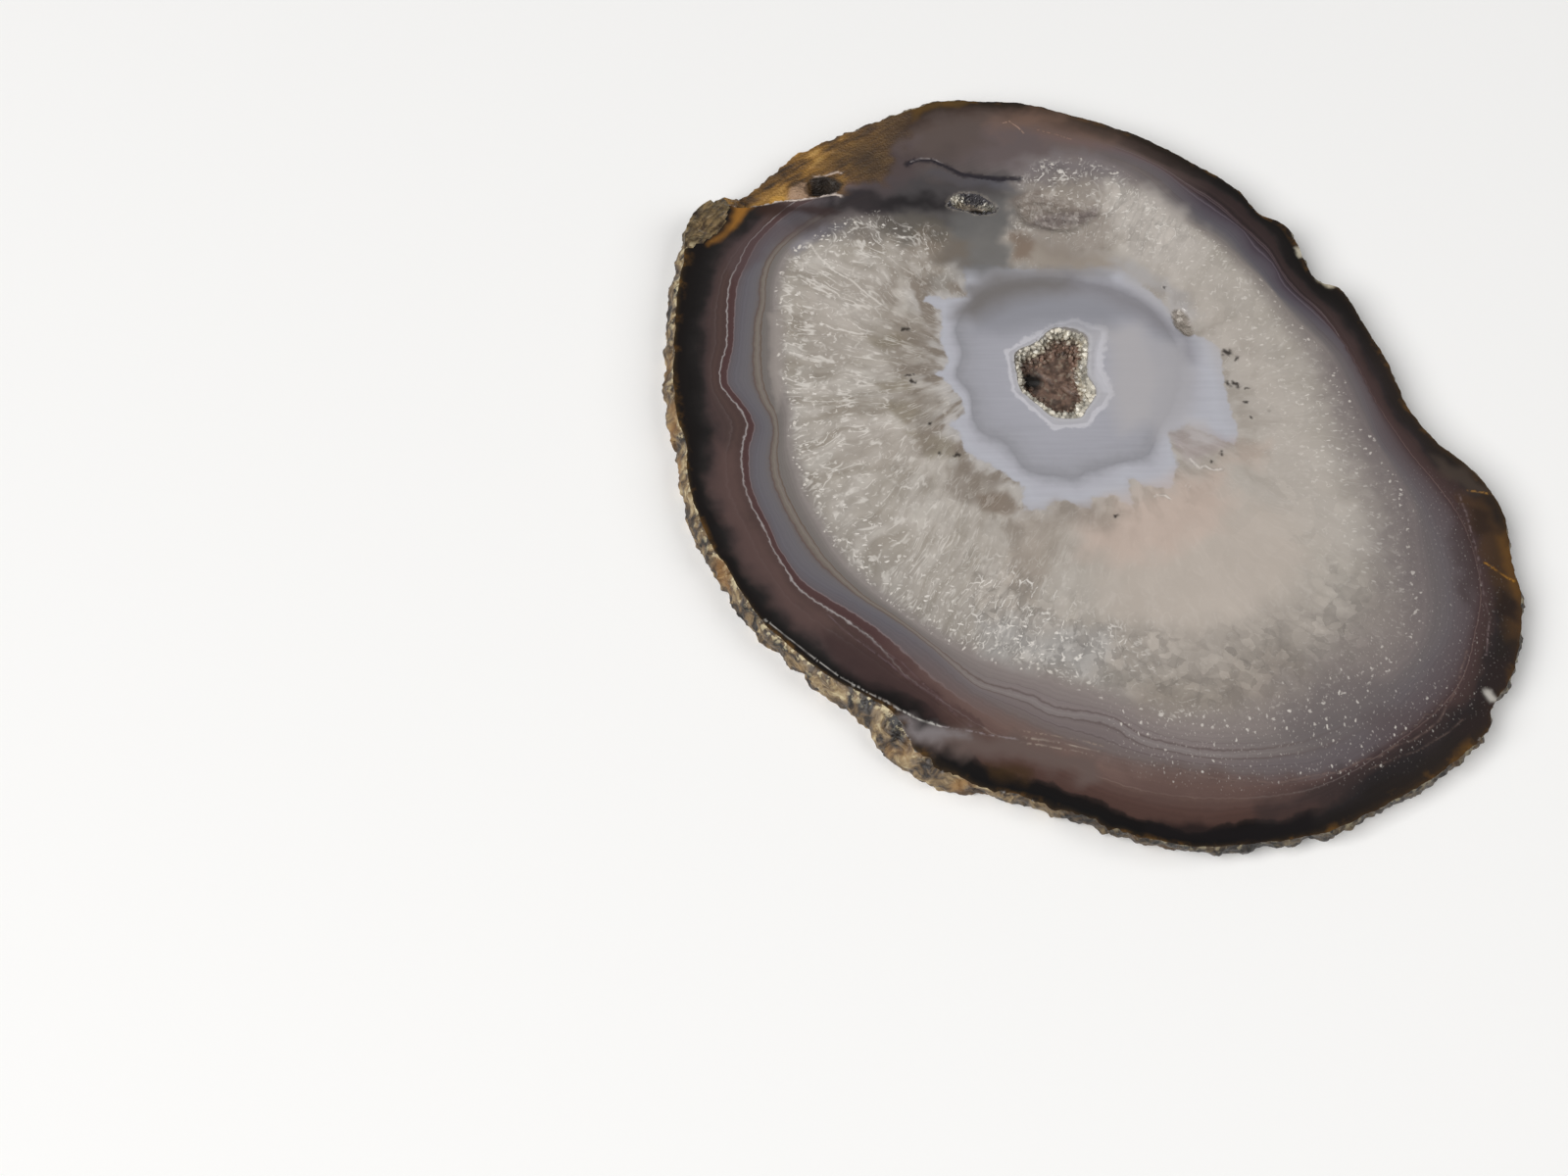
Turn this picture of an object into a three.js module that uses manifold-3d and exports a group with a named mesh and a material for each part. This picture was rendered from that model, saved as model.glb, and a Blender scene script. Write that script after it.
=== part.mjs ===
// A slice sawn from an agate nodule: a level polished face, a level sawn back, and the nodule's own
// rough rind all round. Two hollows in it are lined with small quartz crystals.
// The slice lies flat, with the middle of its back at the origin and its polished face up.
import * as THREE from "three";
import { mergeVertices } from "three/addons/utils/BufferGeometryUtils.js";
import { ImprovedNoise } from "three/addons/math/ImprovedNoise.js";
import Module from "manifold-3d";

const wasm = await Module();
wasm.setup();

// Driving dimensions, in millimetres
const THICKNESS = 6;
const CLEARANCE = 0.3;

// The edge of the polished face, counterclockwise from its near side, with how far the rind bulges
// out of it below the face and where the rind ends on the back: [x, y, bulge, foot]
const EDGE = [
  [9.5, -79, 0.5, -2.2],
  [17, -79.5, 0.5, -2.2],
  [24, -79, 0.5, -2.4],
  [35, -77, 0.4, -2.4],
  [43.5, -73, 0.4, -2.2],
  [51, -69, 0.5, -2],
  [58, -64, 0.5, -2],
  [63.5, -59, 0.4, -2],
  [65, -54.5, 0.3, -1.8],
  [68.5, -50, 0.5, -1.8],
  [71.5, -43, 0.5, -1.6],
  [73.4, -33.5, 0.6, -1.6],
  [73, -27, 0.5, -1.4],
  [73, -17.5, 0.4, -1.4],
  [71, -11, 0.4, -1.4],
  [67, -5.5, 0.5, -1.6],
  [63, -1, 0.5, -1.8],
  [59.5, 6, 0.4, -1.8],
  [57, 16.5, 0.4, -2],
  [54, 24.5, 0.4, -2],
  [51, 32, 0.5, -2],
  [46.5, 34.5, 0.4, -2],
  [44, 43, 0.5, -2],
  [42.5, 47, 0.4, -2],
  [38, 50, 0.4, -2],
  [34, 56, 0.4, -2],
  [27, 62, 0.4, -1.8],
  [20, 67, 0.4, -1.6],
  [13, 71, 0.5, -1.4],
  [2, 75.3, 0.6, -1.2],
  [-5.5, 77.5, 0.8, -0.8],
  [-13, 78, 1, -0.4],
  [-21, 78.2, 1.2, 0],
  [-28, 75.6, 1.2, 0.3],
  [-34, 72.8, 1.4, 0.6],
  [-40, 70, 1.4, 0.6],
  [-45.5, 67, 1.4, 0.6],
  [-51, 63.5, 1.3, 0.6],
  [-55.5, 59, 1.2, 0.6],
  [-60, 55, 1.2, 0.8],
  [-61.5, 50.5, 1.4, 1],
  [-65, 46, 1.6, 1.2],
  [-69, 41, 1.2, 1.6],
  [-71, 36, 1, 1.8],
  [-72, 29, 0.9, 1.8],
  [-72.2, 19.5, 0.8, 1.7],
  [-72, 10, 0.8, 1.6],
  [-71.3, 3.5, 0.8, 1.5],
  [-69.6, -2, 0.8, 1.4],
  [-69, -9.5, 0.8, 1.2],
  [-67.3, -16.5, 0.8, 1.1],
  [-64.5, -23.5, 0.9, 1],
  [-61.5, -28.5, 0.9, 0.8],
  [-56.5, -37.5, 0.9, 0.7],
  [-49, -45.3, 1, 0.7],
  [-43, -50, 1.2, 1],
  [-37, -53.5, 2, 2.4],
  [-33, -57, 2.6, 4],
  [-29, -62, 2.2, 3.4],
  [-24, -65.5, 1.4, 1.6],
  [-17, -68.5, 0.9, 0],
  [-8, -72, 0.7, -1],
  [1.5, -76, 0.6, -1.8],
];
const EDGE_POINTS = 250;
const EDGE_WAVE = { height: 0.25, length: 3 };
const RIM_STEPS = 6;
const LUMPS = { height: 0.9, length: 3.4 };

// The knob of rind at the far left corner
const KNOB = { at: [-65, 50.2, 2.9], radii: [7, 5.4, 3.1], turn: 0.75, lump: 0.4 };

// The stained lobe behind the open cleft: it dips away from the face to the far left, from a line
// through the end of the cleft
const LOBE = {
  outline: [
    [-41, 54.3], [-30, 76], [-30, 90], [-75, 90], [-75, 56], [-60.5, 51.6],
    [-56, 52.2], [-52, 53.4], [-48.5, 53.6], [-44.5, 54.4],
  ],
  start: [-41, 54.3],
  dip: [-0.155, 0.079],
};

// The hole at the end of the cleft, and the lump of quartz beside it
const CLEFT_HOLE = {
  outline: [[-47.6, 59.2], [-48.4, 57], [-47.4, 55.1], [-44, 55], [-41.6, 56.4], [-44, 59.4]],
  depth: 4.2,
  taper: 0.7,
};
const CLEFT_LUMP = { at: [-49.6, 56.2, 4.2], radii: [1.9, 2, 1.3], turn: 0.4, lump: 0.2 };

// The facet ground along the near left edge: it starts at its crest and runs out to the right
const BEVEL = {
  outline: [[-34, -55.6], [-8, -61.3], [10, -65.2], [16, -90], [-10, -90], [-45, -90], [-45, -53]],
  start: [-31, -57],
  dip: [-0.03, -0.138],
  runOut: [-10, 10],
};

// Hollows in the polished face
const CENTRAL_VUG = {
  outline: [
    [-10, 13], [-9.5, 9.5], [-6.5, 6], [-4, 3.5], [0.5, 3.2], [2, 5], [4, 9],
    [2.6, 13], [3.1, 17.5], [3, 21.5], [0, 23.2], [-3, 23], [-6.5, 19.7], [-10, 17.6],
  ],
  depth: 4.7,
  taper: 0.84,
};
const SIDE_VUG = {
  outline: [
    [-21, 52.6], [-20.5, 51.3], [-18, 50.7], [-15.5, 49.8], [-12.6, 50],
    [-11.8, 51.5], [-14, 54], [-16.5, 55.1], [-19.5, 54.6],
  ],
  depth: 3.2,
  taper: 0.8,
};
const LENS = {
  outline: [
    [-8.7, 50], [-7, 47], [-3, 45.4], [2, 45], [6.4, 47.8], [8.7, 51],
    [4, 54], [-1, 55.6], [-5.5, 55.6], [-8.5, 53.6],
  ],
  depth: 0.8,
  taper: 0.62,
};
const SIDE_PIT = {
  outline: [[19.4, 27.4], [19, 25.4], [19.6, 23], [21.6, 21], [23, 22], [22.5, 25.6], [21.5, 27.6]],
  depth: 0.6,
  taper: 0.5,
};

// Quartz points: radius and length of each row, and how many stand in it
const CENTRAL_CRYSTALS = {
  seed: 7,
  lining: 0.9,
  liningTop: 4.6,
  rows: [
    { count: 24, inset: 0.94, height: 3.1, radius: 0.95, length: 2.3, lean: 0.7 },
    { count: 17, inset: 0.76, height: 2, radius: 1.05, length: 2.3, lean: 0.95 },
    { count: 11, inset: 0.48, height: 1.1, radius: 1.15, length: 2.1, lean: 1.25 },
    { count: 4, inset: 0.16, height: 0.8, radius: 1.2, length: 1.8, lean: 1.5 },
  ],
};
const SIDE_CRYSTALS = {
  seed: 19,
  lining: 0.5,
  liningTop: 5,
  rows: [
    { count: 16, inset: 0.9, height: 2, radius: 0.6, length: 1.3, lean: 0.75 },
    { count: 8, inset: 0.5, height: 1, radius: 0.65, length: 1.1, lean: 1.2 },
  ],
};

const COLOURS = { stone: 0x8f8783, crystal: 0xcfc6a8, smallCrystal: 0xbdb6ab };

const noise = new ImprovedNoise();

// Smooth noise of a given wave length
function wave(x, y, z, length) {
  return noise.noise(x / length + 11.3, y / length + 4.7, z / length + 7.9);
}

// A repeatable row of random numbers between 0 and 1
function randomRow(seed) {
  let state = seed;
  return () => {
    state = (state * 1664525 + 1013904223) % 4294967296;
    return state / 4294967296;
  };
}

function toSolid(geometry) {
  const bare = geometry.index ? geometry.toNonIndexed() : geometry.clone();
  bare.deleteAttribute("normal");
  bare.deleteAttribute("uv");
  const merged = mergeVertices(bare, 1e-4);
  return new wasm.Manifold(new wasm.Mesh({
    numProp: 3,
    vertProperties: merged.attributes.position.array,
    triVerts: new Uint32Array(merged.index.array),
  }));
}

function toMesh(solid, name, color, roughness) {
  const cut = solid.getMesh();
  const geometry = new THREE.BufferGeometry();
  geometry.setAttribute("position", new THREE.BufferAttribute(cut.vertProperties, 3));
  geometry.setIndex(new THREE.BufferAttribute(cut.triVerts, 1));
  const flat = geometry.toNonIndexed();
  flat.computeVertexNormals();
  const mesh = new THREE.Mesh(flat, new THREE.MeshStandardMaterial({ color, roughness, metalness: 0 }));
  mesh.name = name;
  return mesh;
}

// An upright block on an outline, with its floor at floorAt(x, y) and drawn in towards the middle
function block(outline, top, floorAt, taper = 1) {
  const shape = new THREE.Shape(outline.map(([x, y]) => new THREE.Vector2(x, y)));
  const geometry = new THREE.ExtrudeGeometry(shape, { depth: 1, steps: 1, bevelEnabled: false });
  const middle = middleOf(outline);
  const place = geometry.attributes.position;
  for (let i = 0; i < place.count; i += 1) {
    const x = place.getX(i);
    const y = place.getY(i);
    if (place.getZ(i) > 0.5) {
      place.setZ(i, top);
    } else {
      const lowX = middle.x + (x - middle.x) * taper;
      const lowY = middle.y + (y - middle.y) * taper;
      place.setXYZ(i, lowX, lowY, floorAt(x, y));
    }
  }
  return toSolid(geometry);
}

function middleOf(outline) {
  const sum = outline.reduce((total, [x, y]) => total.add(new THREE.Vector2(x, y)), new THREE.Vector2());
  return sum.divideScalar(outline.length);
}

// An outline moved in by a distance, towards its middle
function inset(outline, distance) {
  const middle = middleOf(outline);
  return outline.map(([x, y]) => {
    const out = new THREE.Vector2(x - middle.x, y - middle.y);
    out.setLength(out.length() - distance);
    return [middle.x + out.x, middle.y + out.y];
  });
}

// The outline's points, evenly spaced, each with its outward direction, bulge and foot
function edgePoints() {
  const line = new THREE.CatmullRomCurve3(EDGE.map(([x, y]) => new THREE.Vector3(x, y, 0)), true);
  const rind = new THREE.CatmullRomCurve3(EDGE.map(([, , b, f]) => new THREE.Vector3(b, f, 0)), true);
  const points = [];
  for (let i = 0; i < EDGE_POINTS; i += 1) {
    const t = line.getUtoTmapping(i / EDGE_POINTS);
    const at = line.getPoint(t);
    const along = line.getTangent(t);
    const out = new THREE.Vector2(along.y, -along.x).normalize();
    const shift = EDGE_WAVE.height * wave(at.x, at.y, 0, EDGE_WAVE.length);
    const reach = rind.getPoint(t);
    points.push({
      at: new THREE.Vector2(at.x, at.y).addScaledVector(out, shift),
      out,
      bulge: reach.x,
      foot: reach.y,
    });
  }
  return points;
}

// How far the rind stands out of the face's edge, at a share of the way down to the back
function rindReach(point, share) {
  return point.foot * share ** 1.5 + point.bulge * Math.sin(Math.PI * share ** 0.8);
}

// The sawn slab with its lumpy rim, before anything is cut into it
function slab() {
  const points = edgePoints();
  const shape = new THREE.Shape(points.map((point) => point.at));
  const geometry = new THREE.ExtrudeGeometry(shape, {
    depth: THICKNESS,
    steps: RIM_STEPS,
    bevelEnabled: false,
  });
  const key = (x, y) => `${Math.fround(x).toFixed(3)} ${Math.fround(y).toFixed(3)}`;
  const owner = new Map(points.map((point) => [key(point.at.x, point.at.y), point]));
  const place = geometry.attributes.position;
  for (let i = 0; i < place.count; i += 1) {
    const point = owner.get(key(place.getX(i), place.getY(i)));
    const z = place.getZ(i);
    const share = 1 - z / THICKNESS;
    const rough = Math.min(1, share * 8) * LUMPS.height * wave(point.at.x, point.at.y, z, LUMPS.length);
    const reach = rindReach(point, share) + rough;
    place.setXY(i, point.at.x + point.out.x * reach, point.at.y + point.out.y * reach);
  }
  return toSolid(geometry);
}

// A rounded lump with an uneven surface
function lump({ at, radii, turn, lump: rough }) {
  const geometry = new THREE.IcosahedronGeometry(1, 5);
  const place = geometry.attributes.position;
  const spot = new THREE.Vector3();
  for (let i = 0; i < place.count; i += 1) {
    spot.fromBufferAttribute(place, i);
    const swell = 1 + (rough * wave(spot.x * radii[0], spot.y * radii[1], spot.z * radii[2], 1.8)) / 2;
    spot.multiplyScalar(swell).multiply(new THREE.Vector3(...radii));
    place.setXYZ(i, spot.x, spot.y, spot.z);
  }
  geometry.rotateZ(turn);
  geometry.translate(...at);
  return toSolid(geometry);
}

// A cut whose floor starts level with the face at one point, dips away from it, and may run out
// to level again between two places along x
function dippingCut({ outline, start, dip, runOut = [Infinity, Infinity] }) {
  const share = (x) => 1 - THREE.MathUtils.smoothstep(x, ...runOut);
  const depthAt = (x, y) => (x - start[0]) * dip[0] + (y - start[1]) * dip[1];
  return block(outline, THICKNESS + 4, (x, y) => THICKNESS - share(x) * depthAt(x, y));
}

function hollow({ outline, depth, taper }) {
  return block(outline, THICKNESS, () => THICKNESS - depth, taper);
}

// A six-sided quartz crystal with a pointed end, standing on its broken base
function quartzPoint(radius, length) {
  const profile = [
    new THREE.Vector2(0, 0),
    new THREE.Vector2(radius, 0),
    new THREE.Vector2(radius, length * 0.55),
    new THREE.Vector2(0, length),
  ];
  const geometry = new THREE.LatheGeometry(profile, 6);
  geometry.rotateX(Math.PI / 2);
  return geometry;
}

// The crust that lines a hollow: a thin lining, with crystals in rows that lean in towards the middle
function crust(pocket, { seed, lining, liningTop, rows }) {
  const random = randomRow(seed);
  const floor = THICKNESS - pocket.depth + CLEARANCE;
  const outer = inset(pocket.outline, CLEARANCE * 1.4);
  const middle = middleOf(outer);
  const room = block(outer, THICKNESS - CLEARANCE, () => floor, pocket.taper);
  const wall = block(outer, liningTop, () => floor, pocket.taper);
  const core = block(inset(outer, lining), THICKNESS, () => floor + lining, pocket.taper);
  let crystals = wall.subtract(core);
  const around = new THREE.CatmullRomCurve3(outer.map(([x, y]) => new THREE.Vector3(x, y, 0)), true);
  for (const row of rows) {
    for (let i = 0; i < row.count; i += 1) {
      const rim = around.getPointAt((i + 0.5 * random()) / row.count);
      const place = new THREE.Vector3(middle.x, middle.y, 0).lerp(rim, row.inset);
      const inward = new THREE.Vector3(middle.x - rim.x, middle.y - rim.y, 0).normalize();
      const up = new THREE.Vector3(0, 0, 1);
      const lean = row.lean + 0.5 * (random() - 0.5);
      const direction = inward.multiplyScalar(Math.cos(lean)).addScaledVector(up, Math.sin(lean));
      const size = 0.75 + 0.5 * random();
      const point = quartzPoint(row.radius * size, row.length * size);
      point.rotateZ(random() * Math.PI);
      point.applyQuaternion(new THREE.Quaternion().setFromUnitVectors(up, direction.normalize()));
      point.translate(place.x, place.y, floor + row.height - 0.5 * row.length * size);
      crystals = crystals.add(toSolid(point));
    }
  }
  // Voids closed in between the crystals come apart as bodies of their own, and are left out
  const bodies = crystals.intersect(room).decompose();
  return bodies.sort((a, b) => b.volume() - a.volume())[0];
}

// The slice: the slab with its knob, cut by the lobe, the facet and the hollows
function agateSlice() {
  const ground = block(
    [[-90, -90], [90, -90], [90, 90], [-90, 90]],
    0,
    () => -20,
  );
  return slab()
    .add(lump(KNOB))
    .subtract(dippingCut(LOBE))
    .add(lump(CLEFT_LUMP))
    .subtract(hollow(CLEFT_HOLE))
    .subtract(dippingCut(BEVEL))
    .subtract(hollow(CENTRAL_VUG))
    .subtract(hollow(SIDE_VUG))
    .subtract(hollow(LENS))
    .subtract(hollow(SIDE_PIT))
    .subtract(ground);
}

const slice = new THREE.Group();
slice.add(toMesh(agateSlice(), "agate_slice", COLOURS.stone, 0.35));
slice.add(toMesh(crust(CENTRAL_VUG, CENTRAL_CRYSTALS), "central_vug_crystals", COLOURS.crystal, 0.4));
slice.add(toMesh(crust(SIDE_VUG, SIDE_CRYSTALS), "side_vug_crystals", COLOURS.smallCrystal, 0.4));

export default slice;
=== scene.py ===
import math

import bpy
import numpy as np
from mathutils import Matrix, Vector, kdtree, noise
from mathutils.geometry import delaunay_2d_cdt


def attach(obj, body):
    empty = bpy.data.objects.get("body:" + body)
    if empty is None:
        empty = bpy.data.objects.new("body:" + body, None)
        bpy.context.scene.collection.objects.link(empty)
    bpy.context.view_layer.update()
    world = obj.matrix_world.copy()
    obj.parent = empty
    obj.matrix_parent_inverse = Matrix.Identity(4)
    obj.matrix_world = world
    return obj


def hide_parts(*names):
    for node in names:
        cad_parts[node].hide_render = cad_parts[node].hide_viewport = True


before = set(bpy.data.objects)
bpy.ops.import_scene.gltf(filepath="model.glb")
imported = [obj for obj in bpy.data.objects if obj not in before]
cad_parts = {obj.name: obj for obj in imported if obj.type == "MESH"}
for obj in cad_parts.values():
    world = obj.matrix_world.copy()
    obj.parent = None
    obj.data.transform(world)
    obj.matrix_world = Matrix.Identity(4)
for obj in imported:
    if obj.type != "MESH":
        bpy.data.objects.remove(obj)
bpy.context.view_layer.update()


# The agate slice: one solid of banded chalcedony and quartz, sawn from a nodule and polished on top.
# It lies flat, face up, with its back on z = 0. All sizes are in millimetres until the mesh is made.
MM = 0.001
THICKNESS = 6.0

# The edge of the face, counterclockwise from the near side: x, y, how far the rind bulges below the
# face, and where it ends on the back
EDGE = [
    [9.5, -79, 0.5, -2.2], [17, -79.5, 0.5, -2.2], [24, -79, 0.5, -2.4], [35, -77, 0.4, -2.4],
    [43.5, -73, 0.4, -2.2], [51, -69, 0.5, -2], [58, -64, 0.5, -2], [63.5, -59, 0.4, -2],
    [65, -54.5, 0.3, -1.8], [68.5, -50, 0.5, -1.8], [71.5, -43, 0.5, -1.6], [73.4, -33.5, 0.6, -1.6],
    [73, -27, 0.5, -1.4], [73, -17.5, 0.4, -1.4], [71, -11, 0.4, -1.4], [67, -5.5, 0.5, -1.6],
    [63, -1, 0.5, -1.8], [59.5, 6, 0.4, -1.8], [57, 16.5, 0.4, -2], [54, 24.5, 0.4, -2],
    [51, 32, 0.5, -2], [46.5, 34.5, 0.4, -2], [44, 43, 0.5, -2], [42.5, 47, 0.4, -2],
    [38, 50, 0.4, -2], [34, 56, 0.4, -2], [27, 62, 0.4, -1.8], [20, 67, 0.4, -1.6],
    [13, 71, 0.5, -1.4], [2, 75.3, 0.6, -1.2], [-5.5, 77.5, 0.8, -0.8], [-13, 78, 1, -0.4],
    [-21, 78.2, 1.2, 0], [-28, 75.6, 1.2, 0.3], [-34, 72.8, 1.4, 0.6], [-40, 70, 1.4, 0.6],
    [-45.5, 67, 1.4, 0.6], [-51, 63.5, 1.3, 0.6], [-55.6, 59, 1.2, 0.5], [-59.5, 56, 0.7, 0.2],
    [-63, 54.7, 0.5, -1], [-66.5, 53.2, 0.4, -2.4], [-69.2, 50, 0.4, -2.6], [-70.6, 46, 0.5, -1.2],
    [-70.8, 41, 0.9, 0.6], [-71.2, 36, 1, 1.6], [-72, 29, 0.9, 1.8], [-72.2, 19.5, 0.8, 1.7],
    [-72, 10, 0.8, 1.6], [-71.3, 3.5, 0.8, 1.5], [-69.6, -2, 0.8, 1.4], [-69, -9.5, 0.8, 1.2],
    [-67.3, -16.5, 0.8, 1.1], [-64.5, -23.5, 0.9, 1], [-61.5, -28.5, 0.9, 0.8],
    [-56.5, -37.5, 0.9, 0.7], [-49, -45.3, 1, 0.7], [-43, -50, 1.2, 1], [-37, -53.5, 2, 2.4],
    [-33, -57, 2.6, 4], [-29, -62, 2.2, 3.4], [-24, -65.5, 1.4, 1.6], [-17, -68.5, 0.9, 0],
    [-8, -72, 0.7, -1], [1.5, -76, 0.6, -1.8],
]
EDGE_POINTS = 1400
LEAST_HEIGHT = 1.5
RIM_STEPS = [0, 0.03, 0.08, 0.15, 0.23, 0.32, 0.41, 0.5, 0.59, 0.68, 0.77, 0.85, 0.92, 0.97, 1]

# How far apart the points of the face, of its fine marks and of the back are
FACE_SPACING = 0.62
LINE_SPACING = 0.22
MARK_SPACING = 0.2
LEAST_SPACING = 0.15
BACK_SPACING = 1.7

# The knob of rind at the far left corner, and the lump of quartz in the cleft
KNOB = {"at": (-65, 50.2, 2.9), "radii": (7, 5.4, 3.1), "turn": 0.75}
CLEFT_LUMP = {"at": (-49.6, 56.2, 4.2), "radii": (1.9, 2, 1.3), "turn": 0.4}

# The stained lobe behind the cleft dips away from the face; the facet along the near left edge too
LOBE = [[-41, 54.3], [-30, 76], [-30, 90], [-75, 90], [-75, 56], [-60.5, 51.6], [-58, 51.8],
        [-56, 52.2], [-54, 53], [-52, 53.4], [-48.5, 53.6], [-46.5, 54], [-44.5, 54.4]]
LOBE_START = (-41, 54.3)
LOBE_DIP = (-0.155, 0.079)
BEVEL_START = (-31, -57)
BEVEL_DIP = (-0.03, -0.138)
BEVEL_RUN_OUT = (-10, 10)

# Hollows in the face, and how deep each one is before its crystals
CLEFT_DEPTH, CENTRAL_DEPTH, SIDE_DEPTH, LENS_DEPTH, PIT_DEPTH = 4.2, 4.7, 3.2, 0.8, 0.6
CLEFT_HOLE = [[-47.6, 59.2], [-48.4, 57], [-47.4, 55.1], [-44, 55], [-41.6, 56.4], [-44, 59.4]]
CENTRAL_VUG = [[-10, 13], [-9.5, 9.5], [-6.5, 6], [-4, 3.5], [0.5, 3.2], [2, 5], [4, 9], [2.6, 13],
               [3.1, 17.5], [3, 21.5], [0, 23.2], [-3, 23], [-6.5, 19.7], [-10, 17.6]]
SIDE_VUG = [[-21, 52.6], [-20.5, 51.3], [-18, 50.7], [-15.5, 49.8], [-12.6, 50], [-11.8, 51.5],
            [-14, 54], [-16.5, 55.1], [-19.5, 54.6]]
LENS = [[-8.7, 50], [-7, 47], [-3, 45.4], [2, 45], [6.4, 47.8], [8.7, 51], [4, 54], [-1, 55.6],
        [-5.5, 55.6], [-8.5, 53.6]]
SIDE_PIT = [[19.4, 27.4], [19, 25.4], [19.6, 23], [21.6, 21], [23, 22], [22.5, 25.6], [21.5, 27.6]]

# The bands, from the rind inwards: each is the line where one layer of the agate ends
DARK_MARGIN = [
    [-56, 50.5], [-59.5, 45], [-64, 39.5], [-66.5, 31], [-67.5, 22], [-67.5, 13], [-66.5, 5.5],
    [-64.5, 0], [-66, -3], [-66, -6.5], [-64.8, -13.5], [-62.4, -21.2], [-58.9, -28.2], [-55.2, -34.5],
    [-50, -40.8], [-43.2, -46.3], [-36.5, -50], [-29.5, -53.5], [-24, -59], [-19.5, -64.5],
    [-13.5, -67.5], [-8, -68], [-2, -71.5], [5.5, -74.5], [13.5, -77], [24, -75.5], [33, -73.5],
    [39.5, -69.5], [46.5, -65], [55, -59], [61.5, -52], [65.5, -43.5], [68.5, -34], [69, -24],
    [67.5, -16], [64, -9.5], [60.5, -4.5], [58, 1], [55.5, 7], [53.5, 14], [51.5, 21.5],
    [49, 27.5], [45, 31.5], [42.5, 36.5], [40.5, 42], [36.5, 49.5], [30.5, 56.5], [23, 61],
    [14, 66.5], [5, 70.5], [-4.5, 73.5], [-14, 74.5], [-21.5, 72.5], [-28.5, 68.5], [-35, 66.5],
    [-42.5, 62.5], [-50.5, 56.5],
]
WHITE_LINE = [
    [-56, 46.5], [-59, 42.5], [-60.5, 38], [-62, 34.5], [-62.5, 30], [-62.5, 24], [-62.5, 19],
    [-63.5, 15], [-63.5, 10.5], [-61.5, 7.5], [-59.5, 4.5], [-58.5, 1], [-59.5, -3], [-59, -10.5],
    [-57.5, -15.5], [-55.5, -19.5], [-54, -24], [-52.5, -26.5], [-51, -29.5], [-49.5, -32],
    [-46.5, -34.5], [-41, -38.5], [-37, -42], [-31.5, -49], [-26, -53.5], [-20, -58],
    [-13.5, -62], [-7.5, -64], [-1.5, -67], [5, -69.5], [14, -71], [24.5, -71], [33, -69.5],
    [40, -66.5], [47, -62], [55.5, -55.5], [61, -49], [64, -41.5], [66.5, -33], [66.5, -24],
    [65, -17], [62, -10.5], [59, -5], [56.5, 0.5], [54, 6.5], [52, 13.5], [49.5, 20.5],
    [46.5, 27], [43, 31.5], [40.5, 36], [38.5, 41.5], [34.5, 46.5], [30, 52.5], [25, 57],
    [19.5, 62], [12, 66.5], [5, 68.5], [-4.5, 70.5], [-14, 71], [-22, 68.5], [-28.5, 64.5],
    [-35, 61], [-43, 57], [-50.5, 52.5],
]
GREY_BAND = [
    [-54, 45.3], [-56.5, 40.5], [-58.5, 35.5], [-59.5, 30], [-60, 23], [-60.5, 16.5], [-61, 11],
    [-59, 7.5], [-57, 4], [-56, 1], [-57, -3.5], [-57, -10], [-55.5, -15], [-53.5, -20],
    [-51.7, -24.5], [-49, -28.5], [-45.7, -31.2], [-40, -34.8], [-33.8, -39.3], [-27.8, -44.2],
    [-22, -50.5], [-17, -54], [-9, -58.5], [-1, -62], [5.5, -64], [12.5, -65.5],
    [22, -66.5], [29.5, -66.5], [36, -66], [42.5, -63], [49.5, -58], [56, -52], [60, -46],
    [63, -39.5], [64.5, -32], [64.5, -23], [63, -17], [60.5, -11.5], [57.5, -6], [55, 0.5],
    [53, 9], [51, 15.5], [49, 21], [44, 27.5], [40, 33], [39, 37.5], [35.5, 41.5], [34, 46],
    [29, 50.5], [25, 54.5], [20, 60.5], [14, 64], [6.5, 66.5], [-3, 68.5], [-12.5, 67.5],
    [-20, 65], [-27.5, 61], [-35.5, 56.5], [-43, 53.5], [-49, 50],
]
DOUBLE_LINE = [
    [-52.5, 42.5], [-54.8, 39], [-56, 34], [-56, 29], [-57, 24], [-57, 14.5], [-56, 8],
    [-54, 3.5], [-53.5, -0.5], [-54, -5], [-53.5, -9.5], [-52, -14], [-50, -18.5],
    [-47.5, -23], [-44.5, -27.5], [-39, -33.5], [-33, -38], [-28.5, -42], [-25, -45.5],
    [-20, -50.5], [-17, -51.5], [-11, -53.5], [-8, -55.5], [-0.5, -56.5], [2.5, -57.5],
    [6, -60.5], [10.5, -62], [18.5, -63.5], [28, -63], [36, -61], [43, -57.5], [49.5, -53],
    [55, -47], [59.5, -40.5], [61, -33], [61, -25], [60, -19], [59, -14], [56.5, -8],
    [53.5, -2], [52.5, 3.5], [51.5, 9], [49.5, 16], [47.5, 19.5], [42.5, 27], [39, 31.5],
    [37, 35.5], [34, 40.5], [31.5, 45], [27, 49], [22.5, 53.5], [19, 58], [14, 62],
    [6.5, 65], [-3, 67], [-10.5, 65], [-17.5, 62], [-26, 58], [-34.5, 55], [-42, 51.5],
    [-47.5, 47.5],
]
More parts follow.
